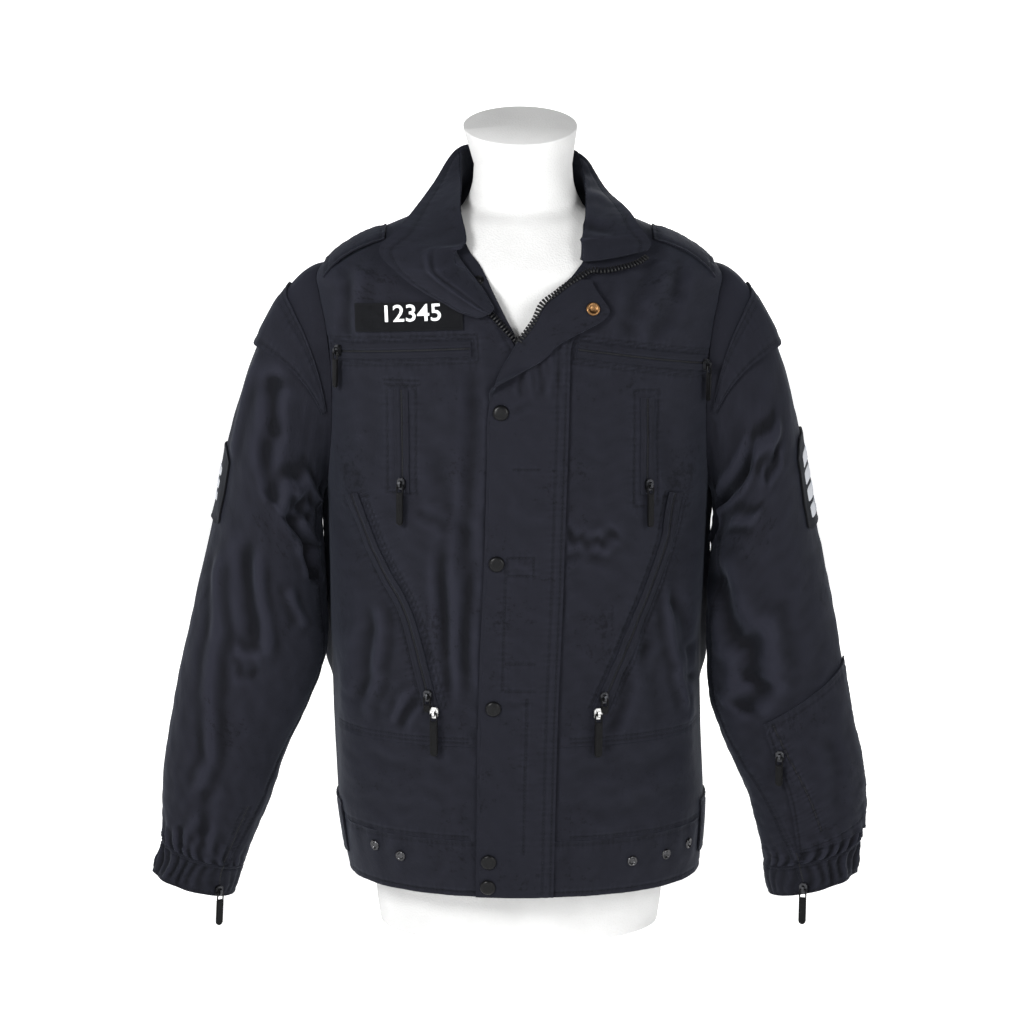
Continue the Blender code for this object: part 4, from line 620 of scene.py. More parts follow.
def ring_point(table, angle, z):
    """A point of a section table; angle 0 is the front, 90 the right side, 180 the back."""
    width, front, back, middle, power = section_at(table, z)
    turn = np.radians(angle)
    sine, cosine = np.sin(turn), np.cos(turn)
    depth = np.where(cosine >= 0, front, back)
    radius = ((np.abs(sine) / width)**power + (np.abs(cosine) / depth)**power)**(-1 / power)
    return np.stack((middle + radius * sine, -radius * cosine, z + 0 * radius), -1)


def unit(vectors):
    return vectors / np.maximum(np.linalg.norm(vectors, axis=-1, keepdims=True), 1e-9)


def body_normal(angle, z):
    small_angle, small_z = 0.5, 0.001
    around = ring_point(BODY, angle + small_angle, z) - ring_point(BODY, angle - small_angle, z)
    upward = ring_point(BODY, angle, z + small_z) - ring_point(BODY, angle, z - small_z)
    return unit(np.cross(around, upward))


def body_point(angle, z, lift=0.0):
    """The jacket's outer surface with its folds, moved out by lift."""
    angle, z = together(angle, z)
    fade = np.clip((0.60 - z) / 0.10, 0, 1) * np.clip((z - 0.055) / 0.03, 0, 1)
    wrapped = (angle + 180) % 360 - 180
    rise = fold_height(BODY_FOLDS, wrapped, z, (0.0031, 1.0)) * fade
    return ring_point(BODY, angle, z) + body_normal(angle, z) * (rise + lift)[..., None]


def front_angle(x, z):
    """The angle at which the front reaches x at height z."""
    width, front, _, middle, power = section_at(BODY, z)
    share = np.clip(np.abs((x - middle) / width), 0, 0.9999)
    depth = front * (1 - share**power)**(1 / power)
    return np.degrees(np.arctan2(x - middle, depth))


def front_point(x, z, lift=0.0):
    x, z = together(x, z)
    return body_point(front_angle(x, z), z, lift)


def shoulder_point(x, y):
    """The top of the shoulder over (x, y), found by halving in height."""
    x, y = together(x, y)
    low = np.full(x.shape, 0.672)
    high = np.full(x.shape, 0.757)
    for _ in range(30):
        z = (low + high) / 2
        width, front, back, middle, power = section_at(BODY, z)
        depth = np.where(y < 0, front, back)
        inside = (np.abs((x - middle) / width))**power + (np.abs(y) / depth)**power < 1
        low = np.where(inside, z, low)
        high = np.where(inside, high, z)
    return body_point(np.degrees(np.arctan2(x - middle, -y)), z)


def armhole_depth(z, half_depth):
    """How far the armhole's edge stands in front of or behind the side at height z."""
    middle = (ARMPIT_Z + ARMHOLE_TOP_Z) / 2
    half_height = (ARMHOLE_TOP_Z - ARMPIT_Z) / 2
    return half_depth * np.sqrt(np.clip(1 - ((z - middle) / half_height)**2, 0, 1))


def angle_at_depth(z, depth, backward):
    """Angle from the front at which the section is depth away from the side line."""
    width, front, back, _, power = section_at(BODY, z)
    full = back if backward else front
    share = np.clip(depth / full, 0, 0.999)
    across = width * (1 - share**power)**(1 / power)
    angle = np.degrees(np.arctan2(across, depth))
    return 180 - angle if backward else angle


def sleeve_table(side):
    return SLEEVE_RIGHT if side > 0 else SLEEVE_LEFT


def sleeve_ring(side, step, angle):
    """Sleeve section number step - 1; angle 0 is outside, 90 front, 180 the body's side."""
    table = sleeve_table(side)
    places = np.arange(1, len(table) + 1)
    z, outer, inner, middle_y, half_depth, tilt = np.moveaxis(curve_at(places, table, step), -1, 0)
    turn = np.radians(angle)
    x = (outer + inner) / 2 + (outer - inner) / 2 * np.cos(turn)
    return np.stack((side * x, middle_y - half_depth * np.sin(turn), z + tilt * np.cos(turn)), -1)


def armhole_ring(side, angle):
    """The armhole's edge; angle 0 is the shoulder, 90 the front, 180 the armpit."""
    turn = np.radians(angle)
    middle = (ARMPIT_Z + ARMHOLE_TOP_Z) / 2
    half_height = (ARMHOLE_TOP_Z - ARMPIT_Z) / 2 - ARMHOLE_INSET["height"]
    z = middle + half_height * np.cos(turn)
    depth_front = (ARMHOLE["front"] - ARMHOLE_INSET["front"]) * np.abs(np.sin(turn))
    depth_back = (ARMHOLE["back"] - ARMHOLE_INSET["back"]) * np.abs(np.sin(turn))
    at_front = angle_at_depth(z, depth_front, False)
    at_back = angle_at_depth(z, depth_back, True)
    body_angle = np.where(np.sin(turn) >= 0, at_front, at_back)
    return ring_point(BODY, side * body_angle, z)


def sleeve_base(side, step, angle):
    step, angle = together(step, angle)
    top_share = ((1 + np.cos(np.radians(angle))) / 2)[..., None]
    sign = np.array((side, 1.0, 1.0))
    start = armhole_ring(side, angle)
    end = sleeve_ring(side, np.ones_like(step), angle)
    leave = sign * (top_share * SLEEVE_TOP_PULL + (1 - top_share) * SLEEVE_ARMPIT_PULL)
    ahead = sleeve_ring(side, np.full_like(step, 1.5), angle)
    arrive = (ahead - end) * (1.0 + 1.6 * top_share)
    t = np.clip(step, 0, 1)[..., None]
    blend = ((2 * t**3 - 3 * t**2 + 1) * start + (t**3 - 2 * t**2 + t) * leave
             + (3 * t**2 - 2 * t**3) * end + (t**3 - t**2) * arrive)
    return np.where((step <= 1)[..., None], blend, sleeve_ring(side, np.maximum(step, 1), angle))


def sleeve_normal(side, step, angle):
    low = np.clip(step - 0.02, 0, 10)
    high = np.clip(step + 0.02, 0, 10)
    along = sleeve_base(side, high, angle) - sleeve_base(side, low, angle)
    around = sleeve_base(side, step, angle + 1.0) - sleeve_base(side, step, angle - 1.0)
    return unit(np.cross(around, along)) * side


def sleeve_point(side, step, angle, lift=0.0):
    """The sleeve's outer surface with its folds, moved out by lift."""
    step, angle = together(step, angle)
    fade = np.clip((step - 0.9) / 0.5, 0, 1) * np.clip((8.2 - step) / 1.0, 0, 1)
    clear_of_body = np.clip(np.abs(angle - 180) / 26 - 0.3, 0, 1)
    wrapped = angle % 360
    rise = fold_height(SLEEVE_FOLDS[side], wrapped, step, (0.00115, 0.060)) * fade * clear_of_body
    normal = sleeve_normal(side, step, angle)
    return sleeve_base(side, step, angle) + normal * (rise + lift)[..., None]


# Relief laid over the smooth cloth

def smooth_step(value):
    share = np.clip(value, 0, 1)
    return share * share * (3 - 2 * share)


def crease_height(creases, u, v):
    """Troughs and ridges between (u, v) points in metres, each with low shoulders and a wavering line."""
    total = np.zeros(np.broadcast(u, v).shape)
    for number, (u_1, v_1, u_2, v_2, half_breadth, size) in enumerate(creases):
        run = np.array((u_2 - u_1, v_2 - v_1))
        length = np.hypot(*run)
        du, dv = u - u_1, v - v_1
        t = (du * run[0] + dv * run[1]) / length**2
        wander = CREASE["wander"] * half_breadth * np.sin(5.5 * t + 1.9 * number)
        across = np.abs((du * run[1] - dv * run[0]) / length + wander) / half_breadth
        taper = np.exp(-np.clip(np.abs(t - 0.5) - 0.34, 0, None)**2 / 0.040)
        uneven = 1 + CREASE["uneven"] * np.sin(9.0 * t + 2.3 * number)
        beside = np.exp(-((across - CREASE["shoulder_at"]) / CREASE["shoulder_breadth"])**2)
        total = total + size * taper * uneven * (np.exp(-across**2) - CREASE["shoulder"] * beside)
    return total * CREASE_STRENGTH


def unevenness(u, v, height=0.00045, seed=1):
    """Low, wide unevenness of worn cloth, from a few fixed waves."""
    random = np.random.default_rng(seed)
    total = np.zeros(np.broadcast(u, v).shape)
    for wave_length in (0.016, 0.021, 0.027, 0.036, 0.048, 0.065):
        turn, phase = random.uniform(0, math.pi), random.uniform(0, 2 * math.pi)
        path = (u * math.cos(turn) + v * math.sin(turn)) * 2 * math.pi / wave_length
        bend = np.sin((u * math.sin(turn) - v * math.cos(turn)) * 2 * math.pi / (wave_length * 2.7) + phase)
        total = total + np.sin(path + 1.4 * bend + phase) * (wave_length / 0.036)**0.7
    return total * height / 2.4


def level_rows(reach, *heights):
    """Straight rows of sewing at heights v, reaching equally far to both sides."""
    return [[(-reach, height), (reach, height)] for height in heights]


def upright_rows(reach, *places):
    return [[(place, -reach), (place, reach)] for place in places]


def sewing_height(lines, u, v):
    """Grooves along rows of sewing, and the small puckers beside them."""
    nearest = np.full(np.broadcast(u, v).shape, 1.0)
    place = np.zeros_like(nearest)
    for line in lines:
        travelled = 0.0
        for start, end in zip(line[:-1], line[1:]):
            run = np.subtract(end, start)
            length = np.hypot(*run)
            t = np.clip(((u - start[0]) * run[0] + (v - start[1]) * run[1]) / length**2, 0, 1)
            distance = np.hypot(u - start[0] - run[0] * t, v - start[1] - run[1] * t)
            closer = distance < nearest
            nearest = np.where(closer, distance, nearest)
            place = np.where(closer, travelled + t * length, place)
            travelled += length
    groove = -GROOVE["depth"] * np.exp(-(nearest / GROOVE["half_width"])**2)
    phase = place * 2 * math.pi / PUCKER["period"] + 1.7 * np.sin(place * 2 * math.pi / PUCKER["drift"])
    return groove + PUCKER["height"] * np.exp(-(nearest / PUCKER["reach"])**2) * np.sin(phase)


def parallel(line, offset):
    """The line of (u, v) points moved sideways by offset."""
    line = np.asarray(line, float)
    run = np.gradient(line, axis=0)
    run /= np.linalg.norm(run, axis=1, keepdims=True)
    return line + np.stack((-run[:, 1], run[:, 0]), -1) * offset


def frame_round(line, offset, beyond):
    """A closed row of sewing at offset from a line and beyond its ends."""
    line = np.asarray(line, float)
    first, last = unit(line[0] - line[1]), unit(line[-1] - line[-2])
    longer = np.concatenate(([line[0] + first * beyond], line[1:-1], [line[-1] + last * beyond]))
    ring = np.concatenate((parallel(longer, offset), parallel(longer, -offset)[::-1]))
    return np.concatenate((ring, ring[:1]))


def smooth_route(route, count=24):
    route = np.asarray(route, float)
    lengths = np.concatenate(((0,), np.cumsum(np.hypot(*np.diff(route, axis=0).T))))
    return curve_at(lengths, route, np.linspace(0, lengths[-1], count))


def front_sewing():
    """Every row of sewing on the fronts, as (x, z) points."""
    lines = []
    for _, line in CHEST_ZIP_STRIPS:
        lines += [frame_round(line, 0.0098, 0.0030), frame_round(line, 0.0135, 0.0067)]
    lines += [BOX_LEFT, BOX_RIGHT]
    lines += [[(-0.134, 0.584), (-0.100, 0.584)], [(-0.134, 0.588), (-0.100, 0.588)]]
    for _, route in DIAGONAL_ROUTES:
        middle = smooth_route(route)
        lines += [parallel(middle, 0.0100), parallel(middle, -0.0100), parallel(middle, 0.0137)]
    for side in (-1, 1):
        edge = [(side * 0.052, 0.0), (side * 0.188, 0.0)]
        for z in (WAIST_SEAM_Z + HEM_ROW, WAIST_SEAM_Z + HEM_ROW + THREAD_GAP, BAND_SEAM_Z + SEAM_ROW):
            lines.append([(edge[0][0], z), (edge[1][0], z)])
        neck = NECKLINE[1:10]
        lines.append([(row[1 if side < 0 else 2] + side * 0.006, row[0]) for row in neck])
    return [np.asarray(line, float) for line in lines]


FRONT_SEWING = front_sewing()


def calm_near(points, centres, radius):
    """0 at the centres and 1 beyond radius."""
    keep = np.ones(points.shape[:-1])
    for centre in centres:
        keep = keep * smooth_step(np.linalg.norm(points - centre, axis=-1) / radius - 0.35)
    return keep


FRONT_CALM = [front_point(x, z) for _, x, z, *_ in FRONT_ZIPS]


def under_flap(x, z):
    """1 where the storm flap covers the front, 0 beyond it."""
    seam_x, fold_x = section_at(STORM_FLAP, np.clip(z, STORM_FLAP[0, 0], STORM_FLAP[-1, 0]))[:2]
    inside = smooth_step((x - fold_x + 0.006) / 0.006) * smooth_step((seam_x + 0.006 - x) / 0.006)
    return np.where(z < 0.60, inside, 0)


def front_base_relief(x, z):
    """Creases and unevenness of the fronts, which the pieces laid on them follow too."""
    base = front_point(x, z)
    cover = under_flap(x, z)
    free = calm_near(base, FRONT_CALM, SLIDER_CALM) * (1 - cover)
    side = smooth_step((0.196 - np.abs(x)) / 0.014)
    top = smooth_step((0.735 - z) / 0.03)
    relief = crease_height(FRONT_CREASES, x, z) + unevenness(x, z)
    return relief * free * side * top - 0.0004 * cover


def front_surface(x, z, lift=0.0, sewn=True):
    """Points and outward normals of the finished front."""
    x, z = together(x, z)
    relief = front_base_relief(x, z)
    if sewn:
        relief = relief + sewing_height(FRONT_SEWING, x, z) * (1 - under_flap(x, z))
    normal = body_normal(front_angle(x, z), z)
    return front_point(x, z) + normal * (relief + lift)[..., None], normal


def back_bulge(angle, z):
    """The back's cloth pushed out behind each arm, above where the arm leaves the side."""
    around = np.minimum(angle, 360 - angle)
    rise = smooth_step((z - BACK_BULGE["low"]) / 0.04) * smooth_step((BACK_BULGE["high"] - z) / 0.04)
    begin = smooth_step((around - 90) / 8)
    away = (around - BACK_BULGE["middle"]) / BACK_BULGE["spread"]
    return BACK_BULGE["height"] * rise * begin * np.exp(-away**2)


def back_surface(angle, z, lift=0.0):
    """Points and outward normals of the finished back."""
    angle, z = together(angle, z)
    base = body_point(angle, z)
    x = base[..., 0]
    inside = smooth_step((np.minimum(angle, 360 - angle) - 90) / 8)
    relief = (crease_height(BACK_CREASES, x, z) + unevenness(x, z, seed=2)) * inside + back_bulge(angle, z)
    relief = relief + sewing_height(level_rows(0.19, BAND_SEAM_Z + SEAM_ROW), x, z)
    normal = body_normal(angle, z)
    return base + normal * (relief + lift)[..., None], normal


def sleeve_length(step):
    """Length of cloth from the armhole to a step."""
    first, later = SLEEVE_STEP_LENGTHS
    return np.where(step < 1, step * first, first + (step - 1) * later)


def step_at(length):
    """The step that a length of cloth from the armhole reaches."""
    first, later = SLEEVE_STEP_LENGTHS
    return np.where(length < first, length / first, 1 + (length - first) / later)


def sleeve_crease_height(side, step, angle):
    total = np.zeros(step.shape)
    for step_1, angle_1, step_2, angle_2, half_breadth, size in SLEEVE_CREASES[side]:
        middle = (angle_1 + angle_2) / 2
        near = (angle - middle + 180) % 360 - 180
        crease = np.array([((angle_1 - middle) * SLEEVE_DEGREE, float(sleeve_length(step_1)),
                            (angle_2 - middle) * SLEEVE_DEGREE, float(sleeve_length(step_2)),
                            half_breadth, size)])
        total = total + crease_height(crease, near * SLEEVE_DEGREE, sleeve_length(step))
    return total


def cap_step(angle, share):
    """The band's step from its seam (share 0) to its loose edge, and how near its middle the angle is."""
    middle = np.cos(np.radians(np.clip(angle, -CAP["reach"], CAP["reach"]) * CAP["turn"] / CAP["reach"]))
    depth = CAP["depth"] + CAP["depth_rise"] * middle
    return CAP["start"] + CAP["start_rise"] * middle + depth * share, middle


SLEEVE_CALM = {
    -1: [sleeve_point(-1, 9.75, 128)],
    1: [sleeve_point(1, 5.20, 106), sleeve_point(1, 9.75, 106)],
}


def sleeve_sewing(side):
    """Double rows on the top sleeve beside both seams, and the zips' rows, as (angle, step) in metres."""
    table = SLEEVE_SEAMS[side]
    steps = np.linspace(0.15, 8.4, 34)
    front = curve_at(table[:, 0], table[:, 1], steps)
    back = curve_at(table[:, 0], table[:, 2], steps) - 360
    length = sleeve_length(steps)
    lines = []
    for inward in (SEAM_ROW, SEAM_ROW + THREAD_GAP):
        lines.append(np.stack((front * SLEEVE_DEGREE - inward, length), -1))
        lines.append(np.stack((back * SLEEVE_DEGREE + inward, length), -1))
    zip_line = np.array([(angle * SLEEVE_DEGREE, float(sleeve_length(step)))
                         for step, angle in CUFF_ZIPS[side][:2]])
    lines += [parallel(zip_line, 0.0055), parallel(zip_line, -0.0055)]
    return lines


SEWN_SLEEVES = {side: sleeve_sewing(side) for side in (-1, 1)}


def sleeve_base_relief(side, step, angle):
    base = sleeve_point(side, step, angle)
    wrapped = (angle + 180) % 360 - 180
    length = sleeve_length(step)
    past_cap = smooth_step((step - cap_step(wrapped, 1)[0]) / 0.10)
    clear_of_cap = np.where(np.abs(wrapped) < CAP["reach"] + 4, past_cap, 1)
    start = smooth_step(length / 0.02)
    end = smooth_step((sleeve_length(8.42) - length) / 0.006)
    gathers = np.exp(-((step - 8.3) / 0.75)**2) * np.clip(np.cos(np.radians(angle - 50)) + 0.6, 0, 1)
    relief = sleeve_crease_height(side, step, angle)
    relief = relief + unevenness(wrapped * SLEEVE_DEGREE, length, 0.00042, seed=5 + side)
    wander = 1.5 * np.sin(length * 60) + 0.8 * np.sin(np.radians(angle * 5))
    relief = relief + 0.0024 * gathers * np.sin(np.radians(angle * 22) + wander)
    return relief * clear_of_cap * start * end * calm_near(base, SLEEVE_CALM[side], SLIDER_CALM)


def sleeve_surface(side, step, angle, lift=0.0, sewn=True):
    """Points and outward normals of the finished sleeve."""
    step, angle = together(step, angle)
    relief = sleeve_base_relief(side, step, angle)
    if sewn:
        wrapped = (angle + 180) % 360 - 180
        relief = relief + sewing_height(SEWN_SLEEVES[side], wrapped * SLEEVE_DEGREE, sleeve_length(step))
    normal = sleeve_normal(side, step, angle)
    return sleeve_point(side, step, angle) + normal * (relief + lift)[..., None], normal


# Making objects

def set_looks(piece, material, smooth_angle):
    piece.data.materials.append(material)
    piece.data.shade_smooth()
    piece.data.set_sharp_from_angle(angle=math.radians(smooth_angle))


def add_piece(name, vertices, faces, material, nodes=(), body="garment", uv=None, smooth_angle=50,
              relief=None):
    """A mesh object that rides on a body and stands for the nodes named."""
    mesh = bpy.data.meshes.new(name)
    faces = [tuple(int(i) for i in face) for face in faces]
    mesh.from_pydata(np.asarray(vertices, float).tolist(), [], faces)
    if uv is not None:
        layer = mesh.uv_layers.new(name="metres")
        corner = np.zeros(len(mesh.loops), dtype=np.int32)
        mesh.loops.foreach_get("vertex_index", corner)
        layer.data.foreach_set("uv", np.asarray(uv, np.float32)[corner].ravel())
    # relief: crease height per point, which the cloth materials turn into painted shade in troughs and a
    # painted highlight on ridges
    if relief is not None:
        painted_shade_attribute = mesh.attributes.new("relief", "FLOAT", "POINT")
        painted_shade_attribute.data.foreach_set("value", np.asarray(relief, np.float32).ravel())
    piece = bpy.data.objects.new(name, mesh)
    bpy.context.scene.collection.objects.link(piece)
    set_looks(piece, material, smooth_angle)
    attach(piece, body)
    for node in nodes:
        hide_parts(node)
    return piece


def grid_faces(rows, columns, closed=False):
    index = np.arange(rows * columns).reshape(rows, columns)
    left, right = (index, np.roll(index, -1, axis=1)) if closed else (index[:, :-1], index[:, 1:])
    return np.stack((left[:-1], right[:-1], right[1:], left[1:]), -1).reshape(-1, 4)


def metric_uv(points):
    """Distances along the middle row and the middle column, so that a weave keeps its size."""
    across = np.linalg.norm(np.diff(points, axis=1), axis=-1)
    along = np.linalg.norm(np.diff(points, axis=0), axis=-1)
    u = np.concatenate((np.zeros((len(points), 1)), np.cumsum(across, axis=1)), axis=1)
    v = np.concatenate((np.zeros((1, points.shape[1])), np.cumsum(along, axis=0)), axis=0)
    return np.stack((u, np.broadcast_to(v.mean(axis=1, keepdims=True), u.shape)), -1)


def standing(points, normals, reach, closed):
    """How far each point stands above the mean of its neighbours, reach cells away."""
    beyond = dict(mode="reflect", reflect_type="odd")
    tall = np.pad(points, ((reach, reach), (0, 0), (0, 0)), **beyond)
    wide = np.pad(points, ((0, 0), (reach, reach), (0, 0)), **(dict(mode="wrap") if closed else beyond))
    mean = (tall[:-2 * reach] + tall[2 * reach:] + wide[:, :-2 * reach] + wide[:, 2 * reach:]) / 4
    height = np.sum((points - mean) * normals, axis=-1)
    return height - np.median(height)


def painted_shade_relief_of(points, normals, closed):
    """Seams and stitches, then creases and folds: below zero in a trough, above on a ridge; the cloth's
    colour is darkened by it as painted shade and lightened as painted highlight.
    """
    return sum(weight * standing(points, normals, reach, closed) for reach, weight in PAINTED_SHADE_REACHES)


def facing_out(points, normals, faces):
    """The faces, turned over where the grid runs against the normals."""
    row, column = points.shape[0] // 2, points.shape[1] // 2
    a, b, c = points[row, column], points[row, column + 1], points[row + 1, column]
    return faces if np.dot(np.cross(b - a, c - a), normals[row, column]) > 0 else faces[:, ::-1]


def border(rows, columns, inset):
    """The border's indices all round an open grid, and those lying inset cells further in."""
    row = np.concatenate((np.zeros(columns - 1), np.arange(rows - 1), np.full(columns - 1, rows - 1),
                          np.arange(rows - 1, 0, -1))).astype(int)
    column = np.concatenate((np.arange(columns - 1), np.full(rows - 1, columns - 1),
                             np.arange(columns - 1, 0, -1), np.zeros(rows - 1))).astype(int)
    inner_row = np.clip(row, inset, rows - 1 - inset)
    inner_column = np.clip(column, inset, columns - 1 - inset)
    return row * columns + column, inner_row * columns + inner_column


def declare_sheet(points, closed):
    """Works out the width, length and area of a cloth piece's flat cut from its own rows and columns, and
    keeps none of them.
    """
    across = np.linalg.norm(np.diff(points, axis=1), axis=-1).sum(axis=1)
    if closed:
        across = across + np.linalg.norm(points[:, 0] - points[:, -1], axis=-1)
    along = np.linalg.norm(np.diff(points, axis=0), axis=-1).sum(axis=0)
    width, length = float(across.max()), float(along.max())
    a, b, c = points[:-1, :-1], points[:-1, 1:], points[1:, :-1]
    area = float(np.linalg.norm(np.cross(b - a, c - a), axis=-1).sum())
    area = min(max(area, 0.31 * width * length), width * length)


def cloth(name, points, normals, material, slot, nodes, thickness=CLOTH, closed=False, whole=False,
          held="hung", rests_on=("dress_form",)):
    """A cloth piece from its outer side: whole, with an inner side too, or with its edges turned in."""
    rows, columns = points.shape[:2]
    count = rows * columns
    outer = points.reshape(-1, 3)
    inner = (points - normals * thickness).reshape(-1, 3)
    uv = metric_uv(points).reshape(-1, 2)
    # Crease height per point, stored so that the material paints shade into troughs and a highlight onto
    # ridges
    relief = painted_shade_relief_of(points, normals, closed).ravel()
    faces = facing_out(points, normals, grid_faces(rows, columns, closed))
    flipped = not np.array_equal(faces[0], grid_faces(rows, columns, closed)[0])
    if whole:
        vertices = np.concatenate((outer, inner))
        all_faces = [faces, faces[:, ::-1] + count]
        uvs = np.concatenate((uv, uv))
        painted_shade_reliefs = np.concatenate((relief, relief))
        if closed:
            low = np.arange(columns)
            rings = [(low, 1), (low + count - columns, -1)]
            for ring, way in rings:
                edge = np.stack((ring, np.roll(ring, -way), np.roll(ring, -way) + count, ring + count), -1)
                all_faces.append(edge if flipped == (way > 0) else edge[:, ::-1])
        else:
            ring, _ = border(rows, columns, 0)
            edge = np.stack((np.roll(ring, -1), ring, ring + count, np.roll(ring, -1) + count), -1)
            all_faces.append(edge[:, ::-1] if flipped else edge)
    else:
        ring, deeper = border(rows, columns, TURNED_IN)
        number = len(ring)
        vertices = np.concatenate((outer, inner[ring], inner[deeper]))
        uvs = np.concatenate((uv, uv[ring], uv[deeper]))
        painted_shade_reliefs = np.concatenate((relief, relief[ring], relief[deeper]))
        low = np.arange(number) + count
        edge = np.stack((np.roll(ring, -1), ring, low, np.roll(low, -1)), -1)
        turned = np.stack((np.roll(low, -1), low, low + number, np.roll(low, -1) + number), -1)
        all_faces = [faces] + [part[:, ::-1] if flipped else part for part in (edge, turned)]
    faces = np.concatenate(all_faces)
    piece = add_piece(name, vertices, faces, material, nodes, uv=uvs, relief=painted_shade_reliefs)
    declare_sheet(points, closed)


def jacket_cloth(name, points, normals, thickness=CLOTH, **more):
    """A piece of the jacket's own cloth, which stands for the node of its name."""
    cloth(name + "_cloth", points, normals, MATERIALS["cloth"], "cloth", [name], thickness, **more)


def at_spacing(points, normals, pitch):
    """Points, directions and normals along a path at an even pitch."""
    length = np.concatenate(((0,), np.cumsum(np.linalg.norm(np.diff(points, axis=0), axis=1))))
    where = np.arange(pitch / 2, length[-1], pitch)

    def read(values, places):
        return np.stack([np.interp(places, length, values[:, axis]) for axis in range(3)], -1)

    out = unit(read(normals, where))
    along = unit(read(points, where + pitch * 0.3) - read(points, where - pitch * 0.3))
    out = unit(out - along * np.sum(out * along, axis=1, keepdims=True))
    return read(points, where), along, out


class Batch:
    """Many small shapes gathered into one object."""

    def __init__(self):
        self.vertices = []
        self.faces = []
        self.count = 0

    def add(self, template, template_faces, places, along, out):
        across = np.cross(along, out)
        axes = np.stack((along, across, out), 1)
        vertices = places[:, None, :] + np.einsum("vk,nkd->nvd", np.asarray(template, float), axes)
        step = len(template)
        for number in range(len(places)):
            base = self.count + number * step
            self.faces += [tuple(base + i for i in face) for face in template_faces]
        self.vertices.append(vertices.reshape(-1, 3))
        self.count += step * len(places)

    def finish(self, name, material):
        if self.vertices:
            add_piece(name, np.concatenate(self.vertices), self.faces, material, smooth_angle=60)


def stitch_shape():
    """A thread's visible loop: thick in the middle, tapered and sunk at both ends."""
    length, radius = STITCH["length"], STITCH["radius"]
    shape = [(-length / 2, 0, -radius)]
    for x in (-length * 0.3, length * 0.3):
        shape += [(x, radius, 0), (x, 0, radius), (x, -radius, 0), (x, 0, -radius)]
    shape.append((length / 2, 0, -radius))
    faces = []
    for i in range(4):
        j = (i + 1) % 4
        faces += [(0, 1 + j, 1 + i), (1 + i, 1 + j, 5 + j, 5 + i), (9, 5 + i, 5 + j)]
    return shape, faces


def tooth_shape(size):
    """A rounded block: along the zip, across it and out of it."""
    a, b, h = size["along"] / 2, size["across"] / 2, size["height"]
    shape = [(x, y, 0) for x, y in ((-a, -b), (a, -b), (a, b), (-a, b))]
    shape += [(x, y, h * 0.65) for x, y, _ in shape[:4]]
    shape += [(x * 0.55, y * 0.8, h) for x, y, _ in shape[:4]]
    faces = [(8, 9, 10, 11)]
    for ring in (0, 4):
        faces += [(ring + i, ring + (i + 1) % 4, ring + 4 + (i + 1) % 4, ring + 4 + i) for i in range(4)]
    return shape, faces


def dense(line):
    """A route of (u, v) points with more points between them."""
    line = np.asarray(line, float)
    length = np.concatenate(((0,), np.cumsum(np.hypot(*np.diff(line, axis=0).T))))
    where = np.linspace(0, length[-1], max(4, int(length[-1] / ROUTE_SPACING)))
    return np.interp(where, length, line[:, 0]), np.interp(where, length, line[:, 1])


def sleeve_route(line):
    """Steps and angles close together along a line of (step, angle) points below step 1."""
    scale = (SLEEVE_STEP_LENGTHS[1], SLEEVE_DEGREE)
    step, angle = dense(np.array(line) * scale)
    return step / scale[0], angle / scale[1]


# Materials

def node_tree(name):
    material = bpy.data.materials.new(name)
    material.use_nodes = True
    tree = material.node_tree
    return material, tree, tree.nodes["Principled BSDF"]


def texture(tree, kind, vector, **values):
    node = tree.nodes.new(kind)
    for key, value in values.items():
        if key in ("bands_direction", "wave_type", "feature"):
            setattr(node, key, value)
        else:
            node.inputs[key].default_value = value
    tree.links.new(vector, node.inputs["Vector"])
    return node


def colour_between(tree, factor, low, high, low_at=0.3, high_at=0.7):
    ramp = tree.nodes.new("ShaderNodeValToRGB")
    ramp.color_ramp.elements[0].color = (*low, 1)
    ramp.color_ramp.elements[1].color = (*high, 1)
    ramp.color_ramp.elements[0].position = low_at
    ramp.color_ramp.elements[1].position = high_at
    tree.links.new(factor, ramp.inputs["Fac"])
    return ramp.outputs["Color"]


def bumped(tree, height, strength, distance, before=None):
    bump = tree.nodes.new("ShaderNodeBump")
    bump.inputs["Strength"].default_value = strength
    bump.inputs["Distance"].default_value = distance
    tree.links.new(height, bump.inputs["Height"])
    if before is not None:
        tree.links.new(before, bump.inputs["Normal"])
    return bump.outputs["Normal"]


